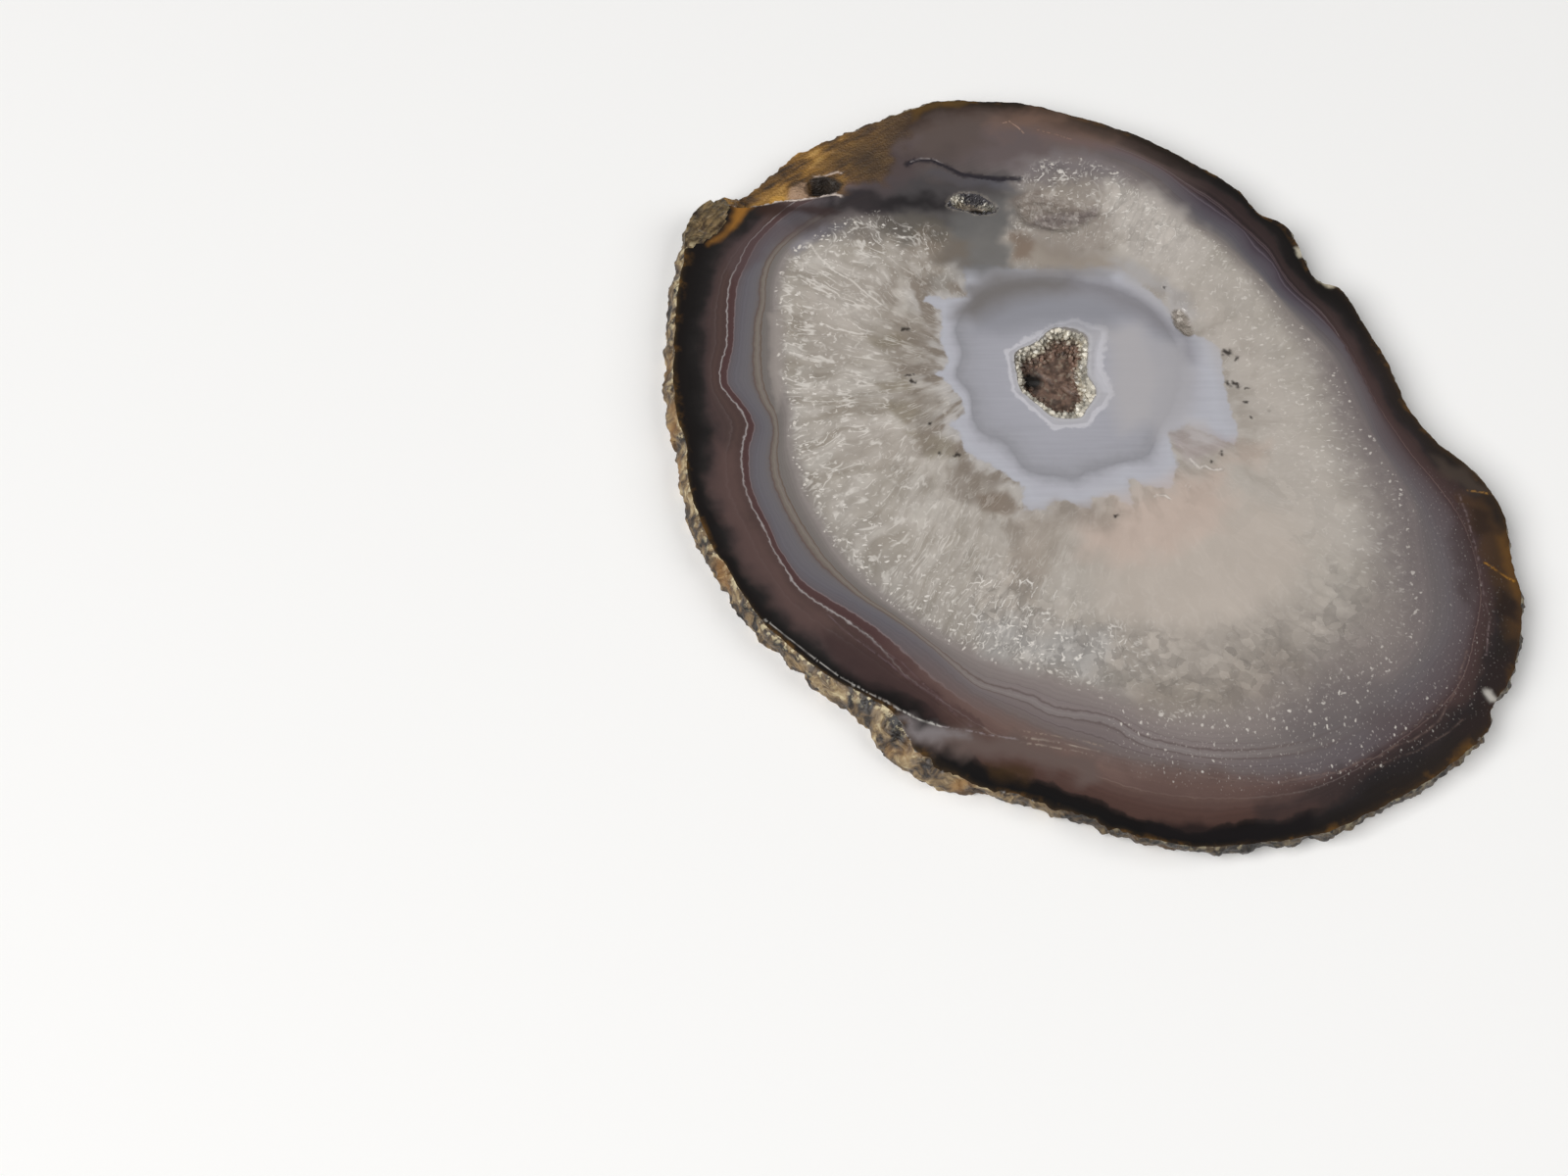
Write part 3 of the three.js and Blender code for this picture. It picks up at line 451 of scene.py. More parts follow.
# A soft step: 0 up to low, 1 from high on
def ease(value, low, high):
    share = np.clip((value - low) / (high - low), 0, 1)
    return share * share * (3 - 2 * share)


central_loop = smooth_loop(CENTRAL_VUG, 120)
side_loop = smooth_loop(SIDE_VUG, 80)
lens_loop = smooth_loop(LENS, 90)
pit_loop = smooth_loop(SIDE_PIT, 40)


# The same places on the level of the back
def flattened(points):
    return np.column_stack([points[:, :2], np.zeros(len(points))])


# How far a place lies along and across a direction
def along_across(x, y, turn):
    return x * math.cos(turn) + y * math.sin(turn), y * math.cos(turn) - x * math.sin(turn)


# The top of a rounded lump above each point, or a very low number beside it
def lump_top(lump, points):
    (x, y, z), (long, wide, high) = lump["at"], lump["radii"]
    along, across = along_across(points[:, 0] - x, points[:, 1] - y, lump["turn"])
    left = 1 - (along / long) ** 2 - (across / wide) ** 2
    return np.where(left > 0, z + high * np.sqrt(np.clip(left, 0, 1)), -99)


# The height of the stone's upper side over each point
def face_height(points):
    flat = flattened(points)
    x, y = points[:, 0], points[:, 1]
    ragged = 0.5 * wave(flat, 1.5) + 0.25 * wave(flat, 0.6)
    inside = inside_by(LOBE, points) + ragged * 0.7
    dip = (x - LOBE_START[0]) * LOBE_DIP[0] + (y - LOBE_START[1]) * LOBE_DIP[1]
    fibrous = 0.35 * wave(flat * [0.25, 1, 1] + flat[:, [1, 0, 2]] * [0.3, 0, 0], 1.1) * np.clip(dip, 0, 1)
    height = THICKNESS - np.clip(dip + fibrous, 0, 9) * np.clip(inside / 0.45, 0, 1)
    height = np.maximum(height, lump_top(CLEFT_LUMP, points) + 0.4 * wave(flat, 0.8))
    hole = inside_by(CLEFT_HOLE, points) + ragged * 0.5
    height = np.minimum(height, THICKNESS - CLEFT_DEPTH * np.clip(hole / 0.7, 0, 1) + 9 * (hole <= 0))
    knob = lump_top(KNOB, points)
    pitted = 0.5 * wave(flat, 1.7) + 0.35 * wave(flat, 0.8)
    height = np.where(knob > 0, np.maximum(height, np.minimum(knob, THICKNESS) + pitted - 0.2), height)
    fall = (x - BEVEL_START[0]) * BEVEL_DIP[0] + (y - BEVEL_START[1]) * BEVEL_DIP[1]
    fall = fall * (1 - ease(x, *BEVEL_RUN_OUT)) * (y < -50)
    height = height - np.clip(fall, 0, 9)
    wall = inside_by(central_loop, points) + ragged * 0.25
    near = np.clip(((x + 3) * 0.6 - (y - 13) * 0.8) / 8, 0, 1)
    height = height - CENTRAL_DEPTH * np.clip(wall / (1.3 + 1.2 * near), 0, 1) ** (0.8 + 0.6 * near)
    wall = inside_by(side_loop, points) + ragged * 0.3
    height = height - SIDE_DEPTH * np.clip(wall / 0.8, 0, 1)
    wall = inside_by(lens_loop, points)
    height = height - (LENS_DEPTH + 0.5 * wave(flat, 1.1)) * ease(wall, 0, 2.4)
    wall = inside_by(pit_loop, points)
    height = height - (PIT_DEPTH + 0.6 * wave(flat, 0.7)) * ease(wall, 0, 0.8)
    return np.minimum(height, THICKNESS)


# A honeycomb of points over the slice, kept clear of the lines that are already there
def honeycomb(spacing, clear_of, edge, clearance):
    tree = kdtree.KDTree(len(clear_of))
    for index, (px, py) in enumerate(clear_of[:, :2].tolist()):
        tree.insert((px, py, 0), index)
    tree.balance()
    low, high = edge[:, :2].min(0), edge[:, :2].max(0)
    rows = []
    for index, y in enumerate(np.arange(low[1], high[1], spacing * math.sqrt(0.75))):
        x = np.arange(low[0], high[0], spacing) + (spacing / 2 if index % 2 else 0)
        rows.append(np.column_stack([x, np.full(len(x), y)]))
    points = np.vstack(rows)
    points = points[inside_by(edge[::6], points) > 0]
    return np.array([p for p in points.tolist() if tree.find((*p, 0))[2] > clearance])


# Triangles over a ring of points and the points inside it
def tiles(ring, inner, lines=()):
    points = np.vstack([ring[:, :2], *[line[:, :2] for line in lines], inner[:, :2]])
    edges = [(i, (i + 1) % len(ring)) for i in range(len(ring))]
    first = len(ring)
    for line in lines:
        edges += [(first + i, first + (i + 1) % len(line)) for i in range(len(line))]
        first += len(line)
    made = delaunay_2d_cdt([Vector(p) for p in points.tolist()], edges, [], 1, 1e-5, True)
    assert len(made[0]) == len(points)
    source = [ids[0] for ids in made[3]]
    found = np.array([[source[i] for i in face] for face in made[2]])
    # A tile with all its corners on the ring may lie outside it, in a dent
    doubtful = (found < len(ring)).all(1)
    middles = points[found[doubtful]].mean(1)
    keep = np.ones(len(found), bool)
    keep[doubtful] = inside_by(ring, middles) > 0
    found = found[keep]
    a, b, c = points[found[:, 0]], points[found[:, 1]], points[found[:, 2]]
    turn = np.cross(b - a, c - a)
    found[turn < 0] = found[turn < 0][:, ::-1]
    return points, found


# The rim: one column of points under each point of the edge
edge = smooth_loop(EDGE, EDGE_POINTS)
along = np.roll(edge[:, :2], -1, 0) - np.roll(edge[:, :2], 1, 0)
out = np.column_stack([along[:, 1], -along[:, 0]]) / np.hypot(*along.T)[:, None]
nibble = 0.25 * wave(flattened(edge), 3) + 0.16 * wave(flattened(edge), 1.1)
start = edge[:, :2] + out * nibble[:, None]


# Where each column of the rim passes at a height: it bulges, tapers and is lumpy below the face
def rim_at(height):
    share = 1 - height / THICKNESS
    reach = edge[:, 3] * share ** 1.5 + edge[:, 2] * np.sin(math.pi * share ** 0.8)
    spot = np.column_stack([edge[:, :2], height])
    rough = 0.9 * wave(spot, 3.4) + 0.6 * wave(spot, 1.5) + 0.3 * wave(spot, 0.7)
    return start + out * (reach + np.clip(share * 8, 0, 1) * rough)[:, None]


# The face dips at parts of the edge, where its height and the rim's place settle in a few rounds
top = np.full(EDGE_POINTS, THICKNESS)
for attempt in range(5):
    top = np.clip(face_height(rim_at(top)), LEAST_HEIGHT, THICKNESS)
rim_rows = []
for step in RIM_STEPS:
    height = top * (1 - step)
    rim_rows.append(np.column_stack([rim_at(height), height]))
rim_rows[-1][:, 2] = 0

# The face: fine triangles, with the lips of the hollows as lines in them
lines = []
for hollow, count, steps in [(CENTRAL_VUG, 120, (0, 0.5, 1.3)), (SIDE_VUG, 64, (0, 0.5)),
                             (SIDE_PIT, 32, (0,)), (CLEFT_HOLE, 48, (0,))]:
    for step in steps:
        loop = smooth_loop(hollow, count)
        middle = loop.mean(0)
        spread = loop - middle
        lines.append(middle + spread * (1 - step / np.hypot(*spread.T))[:, None])
ring = rim_rows[0]
fine = []
for line, width, colour, strength in THIN_LINES:
    for (ax, ay), (bx, by) in zip(line, line[1:]):
        length = math.hypot(bx - ax, by - ay)
        for step in np.arange(0, length, LINE_SPACING):
            for aside in (-0.5, -0.25, 0, 0.25, 0.5):
                share = step / length
                fine.append([ax + (bx - ax) * share - (by - ay) / length * aside,
                             ay + (by - ay) * share + (bx - ax) / length * aside])
for x, y, long, wide, turn in MARKS:
    for px in np.arange(-long * 0.8, long * 0.8, MARK_SPACING):
        for py in np.arange(-wide, wide, MARK_SPACING):
            dx, dy = along_across(px, py, -turn)
            fine.append([x + dx, y + dy])
fine = np.array(fine)
fine = fine[inside_by(ring[::4], fine) > 0.4]
kept = []
grid = {(round(px / LEAST_SPACING), round(py / LEAST_SPACING)) for px, py in np.vstack(lines).tolist()}
for px, py in fine.tolist():
    cell = (round(px / LEAST_SPACING), round(py / LEAST_SPACING))
    if not any((cell[0] + i, cell[1] + j) in grid for i in (-1, 0, 1) for j in (-1, 0, 1)):
        grid.add(cell)
        kept.append([px, py])
fine = np.array(kept)
inner = honeycomb(FACE_SPACING, np.vstack([ring[:, :2], *lines, fine]), ring, 0.3)
inner = np.vstack([inner, fine])
face_points, face_tiles = tiles(ring, inner, lines)
face_points = np.column_stack([face_points, face_height(face_points)])
face_points[:EDGE_POINTS] = ring

# The back: wider triangles, all level
back_ring = rim_rows[-1]
back_inner = honeycomb(BACK_SPACING, back_ring[:, :2], back_ring, 0.8)
back_points, back_tiles = tiles(back_ring, back_inner)
back_points = flattened(back_points)

# All of it in one closed mesh
points = np.vstack([face_points, *rim_rows[1:-1], back_points])
rim_start = len(face_points)
back_start = rim_start + EDGE_POINTS * (len(RIM_STEPS) - 2)
columns = np.arange(EDGE_POINTS)
beside = (columns + 1) % EDGE_POINTS
levels = [columns] + [rim_start + EDGE_POINTS * i + columns for i in range(len(RIM_STEPS) - 2)]
levels.append(back_start + columns)
rim_tiles = []
for upper, lower in zip(levels, levels[1:]):
    rim_tiles.append(np.column_stack([upper[columns], lower[columns], lower[beside]]))
    rim_tiles.append(np.column_stack([upper[columns], lower[beside], upper[beside]]))
rim_tiles = np.vstack(rim_tiles)
all_tiles = np.vstack([face_tiles, rim_tiles, back_start + back_tiles[:, ::-1]])


# Puts a mesh, a lamp or a camera into the scene
def put(name, data):
    piece = bpy.data.objects.new(name, data)
    bpy.context.collection.objects.link(piece)
    return piece


mesh = bpy.data.meshes.new("agate_stone")
mesh.from_pydata((points * MM).tolist(), [], all_tiles.tolist())
mesh.polygons.foreach_set("use_smooth", [True] * len(all_tiles))
mesh.set_sharp_from_angle(angle=math.radians(38))
agate_stone = put("agate_stone", mesh)


# Which layer each point of the stone belongs to: 0 at the rind, 1 where the dark margin ends, and so
# on to 9 at the hollow in the middle; and how far inside the quartz and the milky middle it lies
def layers(points, edge):
    loops = [edge[::4]]
    loops += [smooth_loop(rows, 220) for rows in (
        DARK_MARGIN, WHITE_LINE, GREY_BAND, DOUBLE_LINE, QUARTZ_EDGE)]
    loops += [CHALCEDONY_EDGE, smooth_loop(DARK_RING, 180), WHITE_RING, central_loop]
    depths = [inside_by(loop, points) for loop in loops]
    number = np.zeros(len(points))
    for outer, inner in zip(depths, depths[1:]):
        share = outer / np.maximum(outer - inner, 1e-6)
        number += np.where(inner >= 0, 1, np.where(outer <= 0, 0, np.clip(share, 0, 1)))
    return number, depths[5], depths[6]


on_rim = [np.full(back_start - rim_start, value) for value in (0.0, -9.0, -60.0)]
band, quartz, chalcedony = [np.concatenate(parts) for parts in zip(
    layers(face_points, ring), on_rim, layers(back_points, back_ring))]

# The way the crystals grew: round the middle line of the stone, and out from it
flat = flattened(points)
heart_start = np.array([-12.0, 13.0])
heart = np.array([10.0, 2.0]) - heart_start
share = np.clip(((points[:, :2] - heart_start) @ heart) / (heart @ heart), 0, 1)
away = points[:, :2] - heart_start - share[:, None] * heart
distance = np.hypot(*away.T)
nearest = heart_start + share[:, None] * heart
grow = np.column_stack([nearest + 20 * away / np.maximum(distance, 0.01)[:, None], distance])

# Which side of the stone each point is on: near, right, far right, far
angle = np.degrees(np.arctan2(points[:, 1], points[:, 0])) % 360
sides = np.column_stack([
    np.interp(angle, [0, 228, 256, 286, 310, 360], [0, 0, 1, 1, 0, 0]),
    np.interp(angle, [0, 15, 35, 286, 310, 360], [1, 1, 0, 0, 1, 1]),
    np.interp(angle, [0, 15, 35, 62, 82, 360], [0, 0, 1, 1, 0, 0]),
    np.interp(angle, [0, 62, 82, 118, 140, 360], [0, 0, 1, 1, 0, 0]),
])


# An sRGB colour as hex, in linear light
def linear(text):
    parts = [int(text[i:i + 2], 16) / 255 for i in (1, 3, 5)]
    return [p / 12.92 if p <= 0.04045 else ((p + 0.055) / 1.055) ** 2.4 for p in parts]


# Lays a colour over a layer of colours, as thickly as its cover says
def lay_over(layer, colour, cover):
    total = cover + layer[:, 3] * (1 - cover)
    weight = np.where(total > 0, cover / np.maximum(total, 1e-6), 0)[:, None]
    layer[:, :3] = layer[:, :3] * (1 - weight) + np.array(linear(colour)) * weight
    layer[:, 3] = total


# The soft patches, laid over each other in order
warped = points[:, :2] + np.column_stack([wave(flat, 4, 1), wave(flat, 4, 9)]) * 2.4
warped += np.column_stack([wave(flat, 1.3, 3), wave(flat, 1.3, 5)]) * 0.8
warp = warped - points[:, :2]
stain_shade_highlight = np.zeros((len(points), 4))
loose = (1 - 0.7 * ease(chalcedony, -1, 2))[:, None]
for outline, softness, colour, strength in PATCHES:
    spot = points[:, :2] + warp * loose * min(1, softness / 2)
    lay_over(stain_shade_highlight, colour, strength * ease(inside_by(outline, spot), -softness, softness))

# The thin lines, the spots and the small dark marks, laid over the patches
paint = np.zeros((len(points), 4))
patchy = np.clip(0.75 + 1.3 * wave(flat, 1.3, 4), 0.15, 1)
for line, width, colour, strength in THIN_LINES:
    away = inside_by(line, points[:, :2] + warp * 0.08, closed=False)
    cover = strength * (1 - ease(away, width / 2 - 0.12, width / 2 + 0.12))
    if width < PATCHY_BELOW:
        cover = cover * patchy
    lay_over(paint, colour, cover)
for outline, softness, colour, strength in SPOTS:
    depth = inside_by(outline, points[:, :2] + warp * 0.25)
    lay_over(paint, colour, strength * ease(depth, -softness, softness))
mark = np.zeros(len(points))
ragged = wave(flat, 0.7, 2)
for x, y, long, wide, turn in MARKS:
    along, across = along_across(points[:, 0] - x, points[:, 1] - y, turn)
    off = np.hypot(along / (long / 2), across / (wide / 2))
    mark = np.maximum(mark, 1 - ease(off + 1.1 * ragged, 0.7, 1.1))
mark *= points[:, 2] > 5
lay_over(paint, "#2b2522", mark * 0.9)


# How much each point belongs to a part of the stone, soft at that part's outline
def zone(outline, points, low, high):
    return ease(inside_by(outline, points), low, high)


# How far the quartz has set in: sharply on the left, slowly at the near right. It starts darker, by
# as much and as far in as these tables say for each direction.
softness = np.interp(angle, [0, 25, 60, 80, 105, 125, 215, 240, 260, 275, 290, 312, 345, 360],
                     [9, 5, 1, 3, 4, 2, 2, 2.5, 3, 4, 6, 11, 11, 9])
quartz_cover = ease(quartz + 0.16 * softness * wave(flat, 2.2, 6), -0.12 * softness, 1.25 * softness)
edge_dark = np.interp(angle, [0, 60, 150, 168, 200, 217, 240, 266, 290, 318, 345, 360],
                      [0.12, 0.06, 0.08, 0.12, 0.2, 0.25, 0.24, 0.26, 0.26, 0.3, 0.2, 0.12])
reach = np.interp(angle, [0, 60, 150, 168, 200, 217, 240, 266, 290, 318, 345, 360],
                  [8, 5, 4, 5, 9, 11, 11, 11, 13, 18, 10, 8])
edge_dark = edge_dark * (1 - ease(quartz + 0.25 * reach * wave(flat, 3.5, 12), 0, reach))
lobe_outline = LOBE[1:] + [[-40, 54.2], [-20, 54.2], [-20, 76]]
lobe = ease(inside_by(lobe_outline, points) + 0.3 * wave(flat, 1.5), 0, 0.5)
lobe *= ease(inside_by(OCHRE_SIDE, warped) + 2 * wave(flat, 2.5, 8), -1.8, 2.2)
druse = np.maximum.reduce([0.4 * zone(lens_loop, points, 0, 1.2), zone(central_loop, points, 0, 0.5),
                           zone(side_loop, points, -0.4, 0.4), zone(pit_loop, points, 0, 0.5)])
speckle = zone(SPECKLED, warped, -3, 2)
speckle *= np.interp(angle, [0, 200, 285, 305, 325, 360], [0.35, 0.9, 0.9, 1, 0.5, 0.35])
calm = np.maximum.reduce([0.5 * zone(CALM, warped, -3, 3), zone(CALM_BEYOND, warped, -1.5, 1)]
                         + [zone(patch[0], warped, -2, 1) for patch in PATCHES[1:4]])
rays = np.interp(angle, [0, 60, 100, 125, 180, 230, 262, 290, 360],
                 [0.25, 0.25, 0.45, 0.9, 1, 0.6, 0.35, 0.3, 0.25])
sparkle = np.maximum.reduce([zone(outline, warped, low, high) for outline, low, high in SPARKLING])
facets = zone(FACETED, warped, -3, 3)
whites = np.interp(angle, [0, 20, 60, 95, 125, 180, 230, 262, 290, 330, 360],
                   [0.7, 0.6, 0.55, 0.85, 0.9, 0.85, 0.85, 0.85, 0.6, 0.5, 0.7])
whites *= 1 - 0.7 * facets * (1 - sparkle)

for kind, part, found in (
        ("FLOAT", "value", {
            "band": band, "quartz": quartz_cover, "quartz_depth": quartz, "edge_dark": edge_dark,
            "chalcedony": chalcedony, "facets": facets, "whites": whites, "sparkle": sparkle,
            "rays": rays, "lobe": lobe, "druse": druse, "speckle": speckle, "calm": calm}),
        ("FLOAT_VECTOR", "vector", {"grow": grow}),
        ("FLOAT_COLOR", "color", {"sides": sides, "stain_shade_highlight": stain_shade_highlight, "paint": paint})):
    for name, values in found.items():
        mesh.attributes.new(name, kind, "POINT").data.foreach_set(part, values.astype(np.float32).ravel())


# Adds a node to a material or shape tree, with its settings and links, and gives back one output. A
# shader node's kind goes without its first word. Inputs go by name or number, or as a list in their
# order: a MapRange has its value, from least, from most, to least, to most. Text with a # is a colour.
def add(tree, kind, inputs=(), out=0, stops=(), **settings):
    made = tree.nodes.new(kind if "Node" in kind else "ShaderNode" + kind)
    for name, value in settings.items():
        setattr(made, name, value)
    for index, (place, colour) in enumerate(stops):
        while len(made.color_ramp.elements) <= index:
            made.color_ramp.elements.new(1)
        made.color_ramp.elements[index].position = place
        made.color_ramp.elements[index].color = (*linear(colour), 1)
    for key, value in inputs.items() if isinstance(inputs, dict) else enumerate(inputs):
        if isinstance(value, bpy.types.NodeSocket):
            tree.links.new(value, made.inputs[key])
        elif isinstance(value, str) and value.startswith("#"):
            made.inputs[key].default_value = (*linear(value), 1)
        else:
            made.inputs[key].default_value = value
    return made.outputs[out] if made.outputs else made


# Starts a material, and gives it back with its nodes and with the place on the piece in mm
def start_material(name):
    material = bpy.data.materials.new(name)
    material.use_nodes = True
    tree = material.node_tree
    tree.nodes.clear()
    spot = add(tree, "TexCoord", out="Object")
    return material, tree, add(tree, "VectorMath", {0: spot, "Scale": 1 / MM}, operation="SCALE")


# Polished agate: chalcedony and quartz, sawn and lapped to a gloss. The bands are thin growth layers,
# the quartz is coarse crystals standing on them, and the middle is milky blue chalcedony. A band's
# place is its number from the rind, and its colours differ from side to side.
LEFT_BANDS = [
    (0, "#3a2c19"), (0.1, "#231b13"), (0.2, "#171210"), (0.5, "#191615"), (0.8, "#221f1e"),
    (0.98, "#2d2726"), (1.17, "#3f3433"), (1.36, "#4b3c3a"), (1.52, "#4e3f3c"), (1.55, "#584a48"),
    (1.58, "#4e3e3b"), (1.72, "#503f3b"), (1.94, "#4e3d3a"), (1.982, "#a39b9a"), (2, "#a39b9a"),
    (2.022, "#5f4f4d"), (2.1, "#4e3837"), (2.42, "#523d3c"), (2.48, "#7d7071"), (2.54, "#625b5e"),
    (3, "#666267"), (3.5, "#6b676a"), (3.74, "#6d6665"), (3.8, "#62524d"), (3.87, "#70665f"),
    (4, "#7e756c"), (4.13, "#79706a"), (4.2, "#68594f"), (4.27, "#736d69"), (4.7, "#7d7672"),
    (5, "#8d8581"),
]
NEAR_BANDS = [
    (0, "#35281a"), (0.12, "#1d1711"), (0.3, "#0f0d0d"), (0.8, "#120e0d"), (0.98, "#2b201d"),
    (1.08, "#4c3731"), (1.5, "#523c36"), (1.8, "#5a453f"), (1.97, "#634e47"), (2, "#735f58"),
    (2.04, "#66514b"), (2.4, "#715c55"), (2.8, "#6f5e59"), (3, "#706461"), (3.3, "#736866"),
    (3.34, "#675b5a"), (3.39, "#756a69"), (3.74, "#7a6f6d"), (3.8, "#625654"), (3.87, "#7f7573"),
    (4, "#857c7a"), (4.12, "#817775"), (4.19, "#665a58"), (4.26, "#807573"), (4.4, "#837977"),
    (4.44, "#766b69"), (4.48, "#847a77"), (4.7, "#857b78"), (5, "#8a807c"),
]
RIGHT_BANDS = [
    (0, "#3f2e1c"), (0.1, "#30251c"), (0.28, "#28211d"), (0.55, "#282220"), (0.8, "#2e2727"),
    (1, "#3d302e"), (1.3, "#443533"), (1.9, "#4a3a39"), (1.97, "#6a5854"), (2.03, "#473838"),
    (2.5, "#544849"), (3, "#5a5052"), (3.5, "#605759"), (4, "#665f61"), (4.5, "#6b6464"),
    (5, "#756c6b"),
]
FAR_RIGHT_BANDS = [
    (0, "#2d231a"), (0.15, "#1f1915"), (0.4, "#181513"), (0.8, "#1e1a19"), (1, "#292322"),
    (1.15, "#342928"), (1.6, "#3a2e2d"), (1.75, "#2d2424"), (1.9, "#3c3031"), (1.95, "#5b4e50"),
    (2.02, "#3c3031"), (2.15, "#574b4f"), (2.22, "#352b2d"), (2.5, "#433a40"), (2.7, "#61585f"),
    (2.76, "#494047"), (3.2, "#534c53"), (4, "#5f5b60"), (4.5, "#6e6969"), (5, "#867e79"),
]
FAR_BANDS = [
    (0, "#2a221c"), (0.25, "#30271f"), (0.5, "#443731"), (0.9, "#53453f"), (1.3, "#5f504a"),
    (1.8, "#675955"), (2.5, "#6c5e5e"), (3.5, "#69605f"), (4.5, "#6f6665"), (5, "#7c7270"),
]
MIDDLE_BANDS = [
    (6, "#b2b1b7"), (6.25, "#b7b7be"), (6.55, "#b3b2b9"), (6.82, "#a3a2a8"), (6.96, "#939297"),
    (7.06, "#98979c"), (7.2, "#a09fa5"), (7.45, "#a5a4ab"), (7.9, "#a8a7ae"), (7.94, "#c4c2c7"),
    (8.06, "#c3c1c6"), (8.12, "#b2b0b5"), (8.5, "#b1afb3"), (8.75, "#b9b7ba"), (8.9, "#adabae"),
    (8.95, "#a8a39f"), (9, "#8f8a86"),
]

agate, tree, place = start_material("polished_agate")
(band_in, quartz_in, depth_in, edge_in, chalcedony_in, facets_in, whites_in, sparkle_in, rays_in,
 lobe_in, druse_in, speckle_in, calm_in) = [
    add(tree, "Attribute", out="Fac", attribute_name=name) for name in (
        "band", "quartz", "quartz_depth", "edge_dark", "chalcedony", "facets", "whites", "sparkle",
        "rays", "lobe", "druse", "speckle", "calm")]
sides_in, stain_shade_highlight_in, paint_in = [add(tree, "Attribute", out="Color", attribute_name=name)
                                for name in ("sides", "stain_shade_highlight", "paint")]
far_in, stain_shade_highlight_cover, paint_cover = [add(tree, "Attribute", out="Alpha", attribute_name=name)
                                    for name in ("sides", "stain_shade_highlight", "paint")]
grow_in = add(tree, "Attribute", out="Vector", attribute_name="grow")

# Thin wavering bands, blotchy where the dark margin ends
waver = add(tree, "TexNoise", {"Vector": place, "Scale": 0.8, "Detail": 3})
shift = add(tree, "MapRange", [waver, 0, 1, -0.09, 0.09])
layer = add(tree, "Math", [band_in, shift], operation="ADD")
blotch = add(tree, "TexNoise", {"Vector": place, "Scale": 0.14, "Detail": 2, "Roughness": 0.45})
blotch = add(tree, "MapRange", [blotch, 0.3, 0.7, -0.22, 0.22])
for none, full in ((1.6, 1.1), (0.25, 0.8)):
    margin = add(tree, "MapRange", [band_in, none, full])
    blotch = add(tree, "Math", [blotch, margin], operation="MULTIPLY")
outer = add(tree, "Math", [layer, blotch], operation="ADD")
outer = add(tree, "Math", [outer, 5], operation="DIVIDE")
bands = add(tree, "ValToRGB", [outer], stops=[(b / 5, c) for b, c in LEFT_BANDS])
shares = [add(tree, "SeparateColor", [sides_in], out=part) for part in range(3)] + [far_in]
for share, rows in zip(shares, (NEAR_BANDS, RIGHT_BANDS, FAR_RIGHT_BANDS, FAR_BANDS)):
    side = add(tree, "ValToRGB", [outer], stops=[(b / 5, c) for b, c in rows])
    bands = add(tree, "Mix", {0: share, 6: bands, 7: side}, out=2, data_type="RGBA")
fine = add(tree, "Math", [layer, 9], operation="MULTIPLY")
fine = add(tree, "TexNoise", {"W": fine, "Scale": 1, "Detail": 3}, noise_dimensions="1D")
fine = add(tree, "MapRange", [fine, 0.3, 0.7, 0.95, 1.05])
bands = add(tree, "VectorMath", {0: bands, "Scale": fine}, operation="SCALE")
rust = add(tree, "TexNoise", {"Vector": place, "Scale": 0.22, "Detail": 4, "Roughness": 0.6})
rust = add(tree, "MapRange", [rust, 0.53, 0.65, 0, 0.7])
skin = add(tree, "MapRange", [band_in, 0.35, 0.02])
rust = add(tree, "Math", [rust, skin], operation="MULTIPLY")
bands = add(tree, "Mix", {0: rust, 6: bands, 7: "#6b4b22"}, out=2, data_type="RGBA")

# Quartz: crystals side by side that widen inwards, in clear and milky fans on the left
sway = add(tree, "TexNoise", {"Vector": place, "Scale": 0.09, "Detail": 1}, out="Color")
sway = add(tree, "VectorMath", {0: sway, "Scale": 4}, operation="SCALE")
shake = add(tree, "TexNoise", {"Vector": place, "Scale": 0.9, "Detail": 2}, out="Color")
rough_place = add(tree, "VectorMath", [place, shake], operation="ADD")
shake = add(tree, "VectorMath", {0: shake, "Scale": 0.55}, operation="SCALE")
straight = add(tree, "VectorMath", [grow_in, sway], operation="ADD")
swayed = add(tree, "VectorMath", [straight, shake], operation="ADD")
slight = add(tree, "VectorMath", {0: shake, "Scale": 0.35}, operation="SCALE")
straight = add(tree, "VectorMath", [straight, slight], operation="ADD")
fans = add(tree, "Mapping", {"Vector": straight, "Scale": (0.4, 0.4, 0.06)})
fan = add(tree, "TexNoise", {"Vector": fans, "Scale": 1, "Detail": 2})
blades = add(tree, "Mapping", {"Vector": straight, "Scale": (0.85, 0.85, 0.1)})
blade = add(tree, "TexNoise", {"Vector": blades, "Scale": 1, "Detail": 2, "Roughness": 0.5})
clear = add(tree, "Mix", {0: 0.32, 2: fan, 3: blade})
clear = add(tree, "MapRange", [clear, 0.4, 0.6])
puffs = add(tree, "Mapping", {"Vector": straight, "Scale": (0.34, 0.34, 0.2)})
puffs = add(tree, "TexNoise", {"Vector": puffs, "Scale": 1, "Detail": 2, "Roughness": 0.45})
puff = add(tree, "MapRange", [puffs, 0.38, 0.6])
inmost = add(tree, "MapRange", [chalcedony_in, -12, -4, 0, 0.8])
clear = add(tree, "Mix", {0: inmost, 2: clear, 3: puff})
clear = add(tree, "Mix", {0: rays_in, 2: 0.66, 3: clear})
quartz_colour = add(tree, "ValToRGB", [clear],
                    stops=[(0, "#988f84"), (0.35, "#a79f95"), (0.7, "#b3aba2"), (1, "#c0b9b0")])
lit = add(tree, "Math", [1, edge_in], operation="SUBTRACT")
quartz_colour = add(tree, "VectorMath", {0: quartz_colour, "Scale": lit}, operation="SCALE")
colour = add(tree, "Mix", {0: quartz_in, 6: bands, 7: quartz_colour}, out=2, data_type="RGBA")

